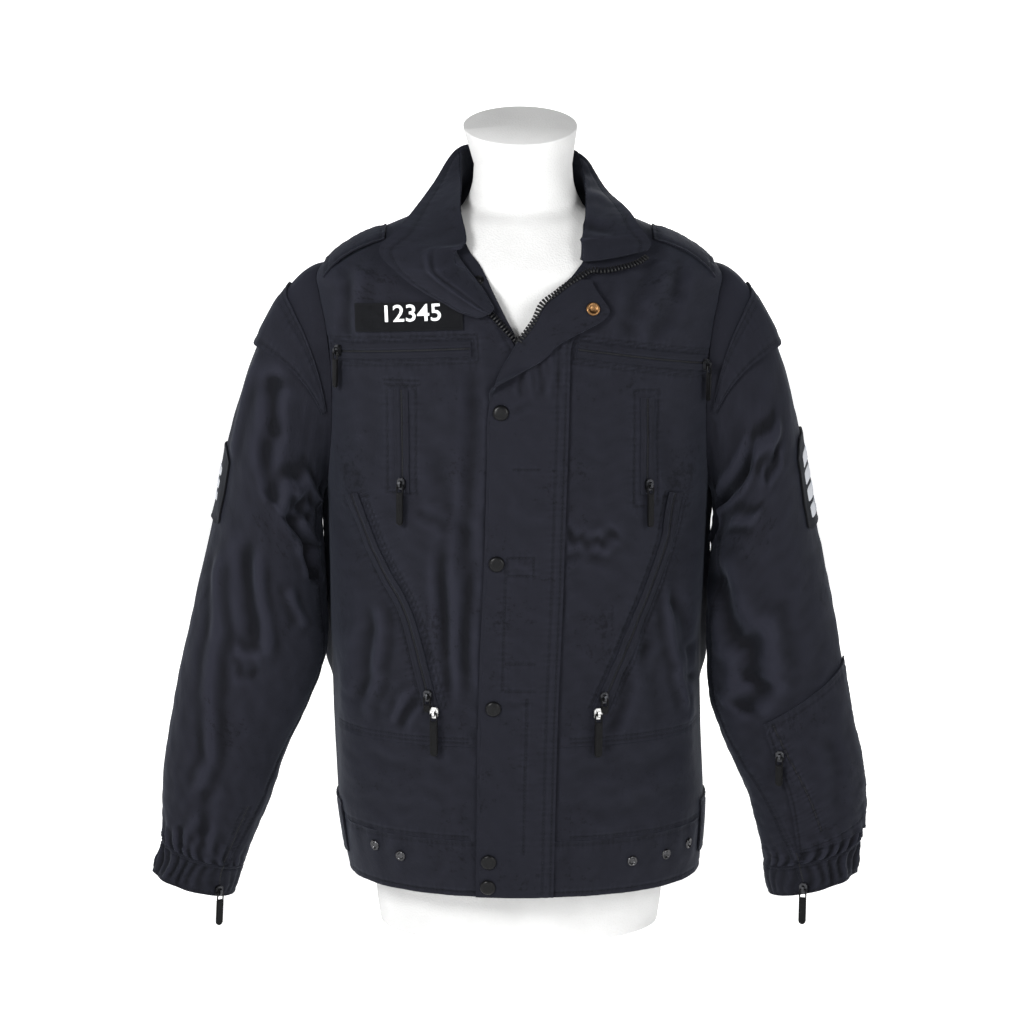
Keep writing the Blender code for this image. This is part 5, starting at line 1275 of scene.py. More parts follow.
def cloth_material(name, colour, twill_pitch=0.0009, sheen=0.06, crumple=0.35):
    """Twill with a slightly uneven dye, painted shade in its creases and a painted highlight on its ridges,
    its own fine ribs and a low crumple.
    """
    material, tree, shader = node_tree(name)
    place = tree.nodes.new("ShaderNodeUVMap")
    place.uv_map = "metres"
    vector = place.outputs["UV"]
    patches = texture(tree, "ShaderNodeTexNoise", vector, Scale=13.0, Detail=3.0, Roughness=0.6)
    mottles = texture(tree, "ShaderNodeTexNoise", vector, Scale=140.0, Detail=5.0, Roughness=0.80)
    uneven = tree.nodes.new("ShaderNodeMath")
    uneven.operation = "MULTIPLY_ADD"
    uneven.inputs[1].default_value = 1.3
    tree.links.new(mottles.outputs["Fac"], uneven.inputs[0])
    tree.links.new(patches.outputs["Fac"], uneven.inputs[2])
    low = tuple(c * 0.62 for c in colour)
    high = tuple(c * 1.38 for c in colour)
    dyed = colour_between(tree, uneven.outputs[0], low, high, 0.90, 1.40)
    # Painted shade and painted highlight: the dyed colour is scaled darker in troughs and lighter on ridges
    # by the stored crease height
    painted_shade_attribute = tree.nodes.new("ShaderNodeAttribute")
    painted_shade_attribute.attribute_name = "relief"
    painted_shade_scale = tree.nodes.new("ShaderNodeMapRange")
    for key, value in PAINTED_SHADE_TONE.items():
        painted_shade_scale.inputs[key].default_value = value
    tree.links.new(painted_shade_attribute.outputs["Fac"], painted_shade_scale.inputs["Value"])
    shaded = tree.nodes.new("ShaderNodeVectorMath")
    shaded.operation = "SCALE"
    tree.links.new(dyed, shaded.inputs[0])
    tree.links.new(painted_shade_scale.outputs["Result"], shaded.inputs["Scale"])
    tree.links.new(shaded.outputs["Vector"], shader.inputs["Base Color"])
    ribs = texture(tree, "ShaderNodeTexWave", vector, wave_type="BANDS", bands_direction="DIAGONAL",
                   Scale=0.444 / twill_pitch, Distortion=0.6)
    folds = texture(tree, "ShaderNodeTexNoise", vector, Scale=60.0, Detail=5.0, Roughness=0.6)
    normal = bumped(tree, folds.outputs["Fac"], crumple, 0.0022)
    normal = bumped(tree, ribs.outputs["Fac"], 0.30, 0.00012, normal)
    tree.links.new(normal, shader.inputs["Normal"])
    shader.inputs["Roughness"].default_value = 0.80
    shader.inputs["Specular IOR Level"].default_value = 0.08
    shader.inputs["Sheen Weight"].default_value = sheen
    shader.inputs["Sheen Roughness"].default_value = 0.55
    shader.inputs["Sheen Tint"].default_value = (0.62, 0.70, 0.90, 1)
    return material


def hard_material(name, colour, roughness, metallic=0.0, specular=0.5):
    """Metal or moulded plastic with fine scuffs and uneven wear."""
    material, tree, shader = node_tree(name)
    place = tree.nodes.new("ShaderNodeTexCoord")
    vector = place.outputs["Object"]
    wear = texture(tree, "ShaderNodeTexNoise", vector, Scale=420.0, Detail=4.0)
    low = tuple(c * 0.7 for c in colour)
    high = tuple(min(1.0, c * 1.35) for c in colour)
    tree.links.new(colour_between(tree, wear.outputs["Fac"], low, high), shader.inputs["Base Color"])
    scuffs = texture(tree, "ShaderNodeTexNoise", vector, Scale=900.0, Detail=3.0)
    spread_of = tree.nodes.new("ShaderNodeMapRange")
    spread_of.inputs["To Min"].default_value = roughness * 0.8
    spread_of.inputs["To Max"].default_value = min(1.0, roughness * 1.3)
    tree.links.new(scuffs.outputs["Fac"], spread_of.inputs["Value"])
    tree.links.new(spread_of.outputs["Result"], shader.inputs["Roughness"])
    tree.links.new(bumped(tree, scuffs.outputs["Fac"], 0.12, 0.0001), shader.inputs["Normal"])
    shader.inputs["Metallic"].default_value = metallic
    shader.inputs["Specular IOR Level"].default_value = specular
    return material


def foam_material():
    """Rigid white foam: a fine closed-cell grain under a matt skin."""
    material, tree, shader = node_tree("foam")
    place = tree.nodes.new("ShaderNodeTexCoord")
    vector = place.outputs["Object"]
    cells = texture(tree, "ShaderNodeTexVoronoi", vector, Scale=520.0)
    stains = texture(tree, "ShaderNodeTexNoise", vector, Scale=14.0, Detail=3.0)
    colour = colour_between(tree, stains.outputs["Fac"], (0.54, 0.54, 0.537), (0.62, 0.62, 0.617))
    tree.links.new(colour, shader.inputs["Base Color"])
    tree.links.new(bumped(tree, cells.outputs["Distance"], 0.40, 0.0007), shader.inputs["Normal"])
    shader.inputs["Roughness"].default_value = 0.85
    shader.inputs["Specular IOR Level"].default_value = 0.2
    return material


NAVY = (0.0058, 0.0060, 0.0090)
NAVY_DARK = (0.0044, 0.0046, 0.0070)
PALE_THREAD = (0.34, 0.35, 0.37)
MATERIALS = dict(
    cloth=cloth_material("duty_cloth", NAVY),
    cuff=cloth_material("cuff_cloth", NAVY_DARK, twill_pitch=0.0012, crumple=0.5),
    strip=cloth_material("zip_tape", tuple(0.9 * c for c in NAVY), twill_pitch=0.0016, crumple=0.15),
    tape=cloth_material("name_tape", (0.0022, 0.0023, 0.0028), twill_pitch=0.0012, sheen=0.05, crumple=0.12),
    patch=cloth_material("patch_ground", (0.0030, 0.0031, 0.0037), twill_pitch=0.0010, sheen=0.05,
                         crumple=0.10),
    patch_bar=cloth_material("patch_bars", PALE_THREAD, twill_pitch=0.0008, sheen=0.10, crumple=0.10),
    thread=cloth_material("thread", (0.0042, 0.0044, 0.0062), twill_pitch=0.0006, sheen=0.10, crumple=0.05),
    digits=cloth_material("digits", (0.62, 0.63, 0.64), twill_pitch=0.0008, sheen=0.05, crumple=0.10),
    teeth=hard_material("zip_teeth", (0.0040, 0.0041, 0.0048), 0.46, specular=0.28),
    coil=hard_material("zip_coil", (0.0040, 0.0042, 0.0052), 0.50, specular=0.25),
    pull=hard_material("pull_black", (0.0030, 0.0031, 0.0035), 0.36, specular=0.10),
    slider=hard_material("slider_metal", (0.045, 0.046, 0.050), 0.32, metallic=1.0),
    bright=hard_material("bright_metal", (0.55, 0.55, 0.54), 0.26, metallic=1.0),
    snap=hard_material("snap_enamel", (0.0030, 0.0031, 0.0036), 0.30, specular=0.16),
    socket=hard_material("brass", (0.17, 0.092, 0.040), 0.38, metallic=1.0),
    ring=hard_material("dark_nickel", (0.060, 0.060, 0.063), 0.26, metallic=1.0),
    foam=foam_material(),
)


# Panels of the body

def side_limit(z, backward):
    """Angle of a body panel's outer edge: side seam, armhole edge or shoulder seam."""
    half_gap = 0.045
    depth = armhole_depth(z, ARMHOLE["back"] if backward else ARMHOLE["front"])
    at_armhole = angle_at_depth(z, depth, backward)
    shift = half_gap if backward else -half_gap
    return np.where((z > ARMPIT_Z) & (z < ARMHOLE_TOP_Z), at_armhole + shift, 90 + shift)


def rows_between(low, high, spacing):
    return np.linspace(low, high, max(3, int(round((high - low) / spacing)) + 1))


def front_panel(name, side, low, high, columns):
    z = rows_between(low, high, 0.0020)
    edge_x = np.interp(z, NECKLINE[:, 0], NECKLINE[:, 1 if side < 0 else 2])
    inner = front_angle(edge_x, z)
    outer = side * side_limit(z, False)
    angle = inner[:, None] + (outer - inner)[:, None] * np.linspace(0, 1, columns)
    height = z[:, None] + 0 * angle
    x = ring_point(BODY, angle, height)[..., 0]
    points, normals = front_surface(x, height)
    at_edge = np.abs(angle) > 89.5
    points = np.where(at_edge[..., None], body_point(angle, height), points)
    jacket_cloth(name, points, normals)


def back_panel():
    z = rows_between(BAND_SEAM_Z + SEAM_GAP / 2, SHOULDER_END_Z, 0.0028)
    limit = side_limit(z, True)
    angle = limit[:, None] + (360 - 2 * limit)[:, None] * np.linspace(0, 1, 150)
    from_edge = 1 - np.abs(angle - 180) / (180 - limit)[:, None]
    near_top = np.clip((z[:, None] - NECK_DIP["from_z"]) / (SHOULDER_END_Z - NECK_DIP["from_z"]), 0, 1)
    height = z[:, None] - NECK_DIP["depth"] * np.sqrt(np.clip(from_edge, 0, 1)) * near_top**2
    points, normals = back_surface(angle, height)
    jacket_cloth("back_panel", points, normals)


def band_surface(angle, z, lift=0.0):
    angle, z = together(angle, z)
    around = np.radians(angle) * 0.19
    relief = unevenness(around, z, 0.0003, seed=9)
    relief = relief + sewing_height(level_rows(9.0, HEM_Z + HEM_ROW, BAND_SEAM_Z - BAND_TOP_ROW), around, z)
    gathers = np.sin(around * 160 + 2 * np.sin(around * 31))
    relief = relief + 0.0006 * gathers * smooth_step((z - HEM_Z) / 0.05)
    normal = body_normal(angle, z)
    return body_point(angle, z, BAND_LIFT) + normal * (relief + lift)[..., None], normal


def hem_band():
    z = rows_between(HEM_Z, BAND_SEAM_Z - SEAM_GAP / 2, 0.0024)
    start = float(front_angle(-0.0033, 0.09))
    end = float(front_angle(-0.0030, 0.09)) + 360
    angle, height = np.meshgrid(np.linspace(start, end, 470), z)
    points, normals = band_surface(angle, height)
    jacket_cloth("hem_band", points, normals, DOUBLE_CLOTH, whole=True, held="folded")


# Collar, underlap and storm flap

def collar_guides():
    """Places along the collar with its seam, roll and edge points."""
    def from_front(row):
        place, seam_x, seam_z, roll_x, roll_z, roll_lift, edge_x, edge_z, edge_lift = row
        seam = front_point(seam_x, seam_z, COLLAR_LIFT)
        roll = front_point(roll_x, roll_z, roll_lift)
        edge = front_point(edge_x, edge_z, edge_lift)
        return place, tuple(seam), tuple(roll), tuple(edge)

    rows = [from_front(row) for row in reversed(COLLAR_LEFT_END)]
    for place, angle, z, roll, edge in COLLAR_STAND:
        rows.append((place, tuple(body_point(angle, z, COLLAR_LIFT)), roll, edge))
    rows += [from_front(row) for row in COLLAR_RIGHT_END]
    return np.array([row[0] for row in rows]), np.array([row[1:] for row in rows])


COLLAR_PLACES, COLLAR_GUIDES = collar_guides()


def collar_lines(share):
    """Seam, roll and edge points at a share of the collar's length, and the roll's own share across."""
    where = COLLAR_PLACES[0] + (COLLAR_PLACES[-1] - COLLAR_PLACES[0]) * share
    seam, roll, edge = np.moveaxis(curve_at(COLLAR_PLACES, COLLAR_GUIDES, where), -2, 0)
    rise = np.linalg.norm(roll - seam, axis=-1)
    fall = np.linalg.norm(edge - roll, axis=-1)
    return seam, roll, edge, np.clip(rise / (rise + fall), 0.16, 0.6)


def collar_base(share, t):
    """Points of the collar at a share of its length and a share t from seam over roll to edge."""
    seam, roll, edge, turn = collar_lines(share)
    turn = turn[..., None]
    t = t[..., None]
    return (seam * (t - turn) * (t - 1) / turn + roll * t * (t - 1) / (turn * (turn - 1))
            + edge * t * (t - turn) / (1 - turn))


def collar_surface(share, t, lift=0.0):
    share, t = together(share, t)
    step = 0.004
    around = collar_base(share + step, t) - collar_base(share - step, t)
    across = collar_base(share, t + step) - collar_base(share, t - step)
    normal = unit(np.cross(around, across))
    away = collar_base(share, t) - np.array((0.0, -0.01, 0.74))
    normal = normal * np.where(np.sum(normal * away, axis=-1) < 0, -1, 1)[..., None]
    u, v = share * COLLAR_LENGTH, t * COLLAR_BREADTH
    creases = COLLAR_CREASES * np.array((COLLAR_LENGTH, COLLAR_BREADTH) * 2 + (1, 1))
    keep = smooth_step(t / 0.12) * smooth_step(np.abs(t - collar_lines(share)[3]) / 0.22)
    relief = (crease_height(creases, u, v) + unevenness(u, v, 0.0003, seed=12)) * keep
    row = [(0.004, COLLAR_BREADTH * COLLAR_ROW), (COLLAR_LENGTH, COLLAR_BREADTH * COLLAR_ROW)]
    relief = relief + sewing_height([row], u, v)
    return collar_base(share, t) + normal * (relief + DOUBLE_CLOTH / 2 + lift)[..., None], normal


def collar():
    share, t = np.meshgrid(np.linspace(0.0, 1.0, 260), np.linspace(0.0, 1.0, 46))
    points, normals = collar_surface(share, t)
    jacket_cloth("collar", points, normals, DOUBLE_CLOTH, whole=True, held="folded")


def underlap():
    z = rows_between(UNDERLAP[0, 0], UNDERLAP[-1, 0], 0.0025)
    outer_x, inner_x = curve_at(UNDERLAP[:, 0], UNDERLAP[:, 1:], z).T
    x = outer_x[:, None] + (inner_x - outer_x)[:, None] * np.linspace(0, 1, 14)
    height = z[:, None] + 0 * x
    normal = body_normal(front_angle(x, height), height)
    sunk = -CLOTH - LAY + 0.0012 * smooth_step((height - 0.700) / 0.020)
    jacket_cloth("underlap", front_point(x, height, sunk), normal, whole=True)


def flap_base(s, z):
    """The storm flap's middle surface; s runs 0 to 1 from its seam to its fold, then turned over to 2."""
    seam_x, fold_x, turned, degrees = np.moveaxis(curve_at(STORM_FLAP[:, 0], STORM_FLAP[:, 1:], z), -1, 0)
    base_lift = FLAP_LAY + DOUBLE_CLOTH / 2
    turn = np.radians(np.clip(degrees, 0.5, 180))
    bend = np.clip((s - 1) / 0.2, 0, 1)
    tail = np.clip((s - 1.2) / 0.8, 0, 1)
    x = seam_x + (fold_x - seam_x) * np.clip(s, 0, 1)
    x = x - FLAP_TURN_RADIUS * np.sin(turn * bend) - turned * tail * np.cos(turn)
    lift = base_lift + FLAP_TURN_RADIUS * (1 - np.cos(turn * bend)) + turned * tail * np.sin(turn)
    return x, lift


def flap_middle(s, z):
    x, lift = flap_base(s, z)
    return front_point(x, z, lift)


def flap_surface(s, z, lift=0.0):
    s, z = together(s, z)
    step = 0.002
    around = flap_middle(s + step, z) - flap_middle(s - step, z)
    upward = flap_middle(s, z + step / 2) - flap_middle(s, z - step / 2)
    normal = -unit(np.cross(around, upward))
    flat = np.where(s <= 1, 1, 0)
    x, _ = flap_base(s, z)
    seam_x = curve_at(STORM_FLAP[:, 0], STORM_FLAP[:, 1], z)
    sewn = sewing_height(FLAP_SEWING, x, z)
    beside = sewing_height([[(row, 0.0), (row, 1.0)] for row in FLAP_ROWS], seam_x - x, z)
    calm = calm_near(front_point(x, z), [front_point(*place) for place in SNAPS], 0.016)
    relief = (crease_height(FLAP_CREASES, x, z) + unevenness(x, z, 0.00022, seed=20)) * calm + sewn + beside
    relief = relief * flat + unevenness(x, z, 0.00030, seed=21) * np.where(s > 1.2, 1, 0)
    return flap_middle(s, z) + normal * (relief + lift)[..., None], normal


def storm_flap():
    low, high = STORM_FLAP[0, 0], STORM_FLAP[-1, 0]
    z = np.concatenate((rows_between(low, 0.560, 0.0020), rows_between(0.561, high, 0.0012)))
    s = np.concatenate((np.linspace(0, 1, 44), np.linspace(1, 1.2, 9)[1:], np.linspace(1.2, 2.0, 30)[1:]))
    share, height = np.meshgrid(s, z)
    points, normals = flap_surface(share, height, DOUBLE_CLOTH / 2)
    jacket_cloth("storm_flap", points, normals, DOUBLE_CLOTH, whole=True, held="folded")


# Sleeves, their caps, cuffs and patches

def side_name(side):
    return "right" if side > 0 else "left"


def sleeve_piece(name, side, first, last, columns):
    steps = step_at(np.linspace(0, float(sleeve_length(SLEEVE_END_STEP)), 225))
    start = curve_at(SLEEVE_SEAMS[side][:, 0], SLEEVE_SEAMS[side][:, first], steps)
    end = curve_at(SLEEVE_SEAMS[side][:, 0], SLEEVE_SEAMS[side][:, last], steps)
    if first > last:
        start = start - 360
    half_gap = 0.16
    angle = (start + half_gap)[:, None] + (end - start - 2 * half_gap)[:, None] * np.linspace(0, 1, columns)
    points, normals = sleeve_surface(side, steps[:, None], angle)
    jacket_cloth(name, points, normals)


def cuff_surface(side, step, angle, lift=0.0):
    step, angle = together(step, angle)
    gather = np.clip(np.cos(np.radians(angle - CUFF_GATHER_MIDDLE)) + 0.35, 0, 1)
    share = (step - SLEEVE_END_STEP - CUFF_GAP) / (SLEEVE_LAST_STEP - SLEEVE_END_STEP - CUFF_GAP)
    wave = CUFF_WAVE_HEIGHT * gather * np.sin(np.radians(angle) * CUFF_WAVES) * np.clip(share * 1.6, 0, 1)
    between = np.clip(share * 5, 0, 1) * np.clip((1 - share) * 4, 0, 1)
    wander = 1.2 * np.sin(share * 5 + np.radians(angle * 3)) + 0.8 * np.sin(np.radians(angle * 5))
    folds = np.sin(np.radians(angle * CUFF_FOLDS) + wander)
    fine = CUFF_FOLD_HEIGHT * (0.35 + 0.65 * gather) * folds * between
    u, v = np.radians(angle) * CUFF_RADIUS, share * CUFF_LENGTH
    relief = wave + fine + sewing_height(level_rows(9.0, 0.012, 0.088), u, v)
    relief = relief + unevenness(u, v, 0.0003, seed=30 + side)
    normal = sleeve_normal(side, step, angle)
    return sleeve_point(side, step, angle) + normal * (relief + lift)[..., None], normal


def cuff(side):
    steps = np.linspace(SLEEVE_END_STEP + CUFF_GAP, SLEEVE_LAST_STEP, 36)
    angle = np.linspace(0, 360, 151)[:-1]
    points, normals = cuff_surface(side, steps[:, None], angle[None, :])
    name = "cuff_" + side_name(side)
    cloth(name + "_cloth", points, normals, MATERIALS["cuff"], "cuff_cloth", [name], DOUBLE_CLOTH,
          closed=True, whole=True, held="gathered")


def cap_surface(side, angle, share, lift=0.0):
    step, middle = cap_step(angle, share)
    stand = SLEEVE_LAY + CLOTH + CAP["stand"] * share * middle
    u, v = angle * SLEEVE_DEGREE, share * 0.04
    rows = level_rows(1.0, 0.004, 0.0078, 0.036)
    relief = sewing_height(rows, u, v) + unevenness(u, v, 0.0003, seed=40 + side)
    normal = sleeve_normal(side, step, angle)
    return sleeve_point(side, step, angle) + normal * (stand + relief + lift)[..., None], normal


def cap_flap(side):
    """The band over the sleeve head, loose along its lower edge."""
    angle, share = np.meshgrid(np.linspace(-CAP["reach"], CAP["reach"], 100), np.linspace(0, 1, 24))
    points, normals = cap_surface(side, angle, share)
    jacket_cloth("sleeve_cap_" + side_name(side), points, normals, whole=True)


def loop_surface(side, a, b, lift=0.0):
    """The shoulder loop at shares a across and b along it."""
    x = side * (SHOULDER_LOOP["inner_x"] + (SHOULDER_LOOP["outer_x"] - SHOULDER_LOOP["inner_x"]) * a)
    y = SHOULDER_LOOP["front_y"] + (SHOULDER_LOOP["back_y"] - SHOULDER_LOOP["front_y"]) * b
    arch = SHOULDER_LOOP["arch"] * np.sin(math.pi * a)
    place = shoulder_point(x, y)
    middle = section_at(BODY, place[..., 2])[3]
    normal = body_normal(np.degrees(np.arctan2(place[..., 0] - middle, -place[..., 1])), place[..., 2])
    u = a * (SHOULDER_LOOP["outer_x"] - SHOULDER_LOOP["inner_x"])
    v = b * (SHOULDER_LOOP["back_y"] - SHOULDER_LOOP["front_y"])
    rows = upright_rows(1.0, 0.004, 0.058) + level_rows(1.0, 0.003, 0.035)
    relief = sewing_height(rows, u, v) + unevenness(u, v, 0.0002, seed=50 + side)
    return place + normal * (LAY + CLOTH + arch + relief + lift)[..., None], normal


def shoulder_loop(side):
    a, b = np.meshgrid(np.linspace(0, 1, 36), np.linspace(0, 1, 22))
    points, normals = loop_surface(side, a, b)
    jacket_cloth("shoulder_loop_" + side_name(side), points, normals, whole=True)


def pocket_top(angle):
    """The step of the forearm pocket's top edge at an angle."""
    return FOREARM_POCKET["top"] - (FOREARM_POCKET["front"] - angle) * FOREARM_POCKET["fall"]


def forearm_pocket():
    angle = np.linspace(FOREARM_POCKET["front"], FOREARM_POCKET["outside"], 60)
    share = np.linspace(0, 1, 80)[:, None]
    top = pocket_top(angle)
    step = top[None, :] + (FOREARM_POCKET["bottom"] - top)[None, :] * share
    points, normals = pocket_surface(step, np.broadcast_to(angle, step.shape))
    jacket_cloth("forearm_pocket", points, normals, whole=True)


def pocket_surface(step, angle, lift=0.0):
    """The forearm pocket's outer side, with the rows of sewing along its edges."""
    top = pocket_top(angle)
    u, v = angle * SLEEVE_DEGREE, (step - top) * SLEEVE_STEP_LENGTHS[1]
    low = (FOREARM_POCKET["bottom"] - FOREARM_POCKET["top"]) * SLEEVE_STEP_LENGTHS[1]
    left, right = FOREARM_POCKET["outside"] * SLEEVE_DEGREE, FOREARM_POCKET["front"] * SLEEVE_DEGREE
    rows = [[(left, height), (right, height)] for height in (0.004, 0.0077, low - 0.004)]
    rows += [[(place, 0), (place, low)] for place in (left + 0.004, right - 0.004)]
    zip_line = [(a * SLEEVE_DEGREE, (s - pocket_top(a)) * SLEEVE_STEP_LENGTHS[1]) for s, a in FOREARM_ZIP]
    relief = sewing_height(rows, u, v) + sewing_height([zip_line], u, v) * 1.6
    points, normal = sleeve_surface(1, step, angle, 0.0, sewn=False)
    return points + normal * (SLEEVE_LAY + CLOTH + relief + lift)[..., None], normal


def patch_surface(side, first_angle, last_angle, first_step, last_step, a, b, lift=0.0):
    """A sewn patch with rounded corners, at shares a (-1 to 1) round the sleeve and b (-1 to 1) along it."""
    reach = 1 - 0.16 * np.clip((np.abs(a) - 0.6) / 0.4, 0, 1)**2
    step = (first_step + last_step) / 2 + (last_step - first_step) / 2 * b * reach
    angle = (first_angle + last_angle) / 2 + (last_angle - first_angle) / 2 * a
    points, normal = sleeve_surface(side, step, angle, 0.0, sewn=False)
    rim = 0.0004 * np.clip((np.maximum(np.abs(a), np.abs(b)) - 0.90) / 0.06, 0, 1)
    return points + normal * (SLEEVE_LAY + PATCH_THICKNESS + rim + lift)[..., None], normal


def arm_patch(name, side, *extent):
    a, b = np.meshgrid(np.linspace(-1, 1, 60), np.linspace(-1, 1, 64))
    points, normals = patch_surface(side, *extent, a, b)
    cloth(name + "_cloth", points, normals, MATERIALS["patch"], "patch", [name], PATCH_THICKNESS, whole=True,
          held="laid", rests_on=("sleeve_top_" + side_name(side),))
    bars = Batch()
    half, reach = PATCH_BARS[side]["half"], PATCH_BARS[side]["reach"]
    for level in PATCH_BARS[side]["levels"]:
        a, b = np.meshgrid(np.linspace(-reach, reach, 40), np.linspace(level - half, level + half, 8))
        points, normals = patch_surface(side, *extent, a, b, 0.0006)
        pillow = np.clip(np.minimum(1 - np.abs(a) / reach, 1 - np.abs(b - level) / half) * 6, 0, 1)
        points = points - normals * (0.0008 * (1 - pillow))[..., None]
        bars.faces += [tuple(face) for face in facing_out(points, normals, grid_faces(8, 40)) + bars.count]
        bars.vertices.append(points.reshape(-1, 3))
        bars.count += points.shape[0] * points.shape[1]
    vertices = np.concatenate(bars.vertices)
    add_piece(name + "_bars", vertices, bars.faces, MATERIALS["patch_bar"], uv=vertices[:, 1:])


# Pieces laid on the fronts

def strip_points(route, half_breadth, along, across):
    """Places (x, z) over a strip, and shares along it and across it."""
    middle = smooth_route(route, along) if len(route) > 2 else np.linspace(route[0], route[1], along)
    run = unit(np.gradient(middle, axis=0))
    side = np.stack((-run[:, 1], run[:, 0]), -1)
    s = np.linspace(-1, 1, across)[:, None]
    places = middle[None] + side[None] * half_breadth * s[..., None]
    return places[..., 0], places[..., 1], s


def zip_strip(name, route, half_breadth, lay):
    """A zip's strip with the groove that its teeth lie in."""
    length = np.linalg.norm(np.diff(np.asarray(route), axis=0), axis=1).sum()
    x, z, s = strip_points(route, half_breadth, int(length / 0.0016), 27)
    distance = np.abs(s) * half_breadth
    groove = -STRIP_GROOVE["depth"] * smooth_step((STRIP_GROOVE["half_width"] + 0.0009 - distance) / 0.0009)
    lips = 0.0004 * np.exp(-((distance - 0.0030) / 0.0010)**2)
    rounding = -0.0004 * smooth_step((distance - half_breadth + 0.0008) / 0.0008)
    base, normals = front_surface(x, z, lay + STRIP, sewn=False)
    points = base + normals * (groove + lips + rounding + 0 * x)[..., None]
    cloth(name + "_tape", points, normals, MATERIALS["strip"], "zip_strip", [name], STRIP, whole=True,
          held="laid", rests_on=("front_" + side_name(x.mean()),))


def zip_strips():
    for name, line in CHEST_ZIP_STRIPS:
        zip_strip(name, line, STRIP_BREADTHS["chest"], LAY)
    for name, line in VERTICAL_STRIPS:
        zip_strip(name, line, STRIP_BREADTHS["upright"], LAY)
    for name, route in DIAGONAL_ROUTES:
        zip_strip(name, route, STRIP_BREADTHS["slant"], BIAS_LAY)


def name_tape():
    start, end, half = NAME_TAPE
    x, z, s = strip_points([start, end], half, 90, 26)
    points, normals = front_surface(x, z, LAY + NAME_TAPE_THICKNESS, sewn=False)
    along = np.linspace(0, 1, 90)[None, :]
    edge = np.minimum(np.minimum(along, 1 - along) * 0.106, (1 - np.abs(s)) * half)
    points = points + normals * (0.0004 * smooth_step((0.0026 - edge) / 0.0012))[..., None]
    cloth("name_tape_cloth", points, normals, MATERIALS["tape"], "patch", ["name_tape"], NAME_TAPE_THICKNESS,
          whole=True, held="laid", rests_on=("front_left",))


def tape_digits():
    """Plain made-up digits, laid on the name tape."""
    curve = bpy.data.curves.new("digits", "FONT")
    curve.body = DIGITS["text"]
    curve.extrude = 0.02
    curve.offset = DIGITS["bold"]
    curve.resolution_u = 6
    letters = bpy.data.objects.new("digits_source", curve)
    bpy.context.scene.collection.objects.link(letters)
    bpy.context.view_layer.update()
    mesh = bpy.data.meshes.new_from_object(letters)
    bpy.data.objects.remove(letters)
    flat = np.array([tuple(vertex.co) for vertex in mesh.vertices])
    faces = [tuple(polygon.vertices) for polygon in mesh.polygons]
    flat[:, :2] -= flat[:, :2].min(axis=0)
    share = flat[:, :2] / flat[:, :2].max(axis=0)
    start, end = np.array(DIGITS["start"]), np.array(DIGITS["end"])
    run = end - start
    up = np.array((-run[1], run[0])) / np.linalg.norm(run)
    place = start + run * share[:, :1] + up * DIGITS["height"] * share[:, 1:]
    top = np.where(flat[:, 2] > 0, DIGITS["lift"], -0.0003)
    vertices, _ = front_surface(place[:, 0], place[:, 1], LAY + NAME_TAPE_THICKNESS + top, sewn=False)
    add_piece("name_tape_digits", vertices, faces, MATERIALS["digits"], uv=place)


def side_tab(side):
    angle = side * np.linspace(SIDE_TAB["front"], SIDE_TAB["back"], 40)
    z = np.linspace(SIDE_TAB["low"], SIDE_TAB["high"], 34)[:, None]
    angle, z = np.broadcast_arrays(angle, z)
    along = (np.abs(angle) - SIDE_TAB["front"]) / (SIDE_TAB["back"] - SIDE_TAB["front"])
    rows = upright_rows(1.0, 0.004, 0.061)
    rows += level_rows(1.0, SIDE_TAB["low"] + 0.004, SIDE_TAB["high"] - 0.004)
    relief = sewing_height(rows, along * 0.065, z)
    normal = body_normal(angle, z)
    points = body_point(angle, z, BAND_LIFT + LAY + CLOTH) + normal * relief[..., None]
    jacket_cloth("side_tab_" + side_name(side), points, normal, whole=True, held="laid",
                 rests_on=("hem_band",))


# Hard pieces

def closed_rings(rings, low, top):
    """Vertices and faces of rings from low to top, each end closed round its centre."""
    rows, columns = rings.shape[:2]
    vertices = np.concatenate((rings.reshape(-1, 3), [low, top]))
    faces = [tuple(face) for face in grid_faces(rows, columns, True)]
    count = rows * columns
    for i in range(columns):
        j = (i + 1) % columns
        faces += [(count, j, i), (count + 1, count - columns + i, count - columns + j)]
    return vertices, faces


def turned(name, profile, place, axis, material, slot, nodes=()):
    """A round piece: profile rows are (radius, height) from its base to its top."""
    profile = np.array(profile)
    turn = np.linspace(0, 2 * math.pi, ROUND_SEGMENTS, endpoint=False)
    rings = np.stack((profile[:, :1] * np.cos(turn), profile[:, :1] * np.sin(turn),
                      profile[:, 1:] + 0 * turn), -1)
    vertices, faces = closed_rings(rings, (0, 0, profile[0, 1]), (0, 0, profile[-1, 1]))
    matrix = np.array(Vector(axis).to_track_quat("Z", "Y").to_matrix())
    vertices = vertices @ matrix.T + np.array(place)
    add_piece(name, vertices, faces, material, nodes, smooth_angle=45)


def front_place(x, z, lift):
    return front_point(x, z, lift), body_normal(front_angle(x, z), np.float64(z))


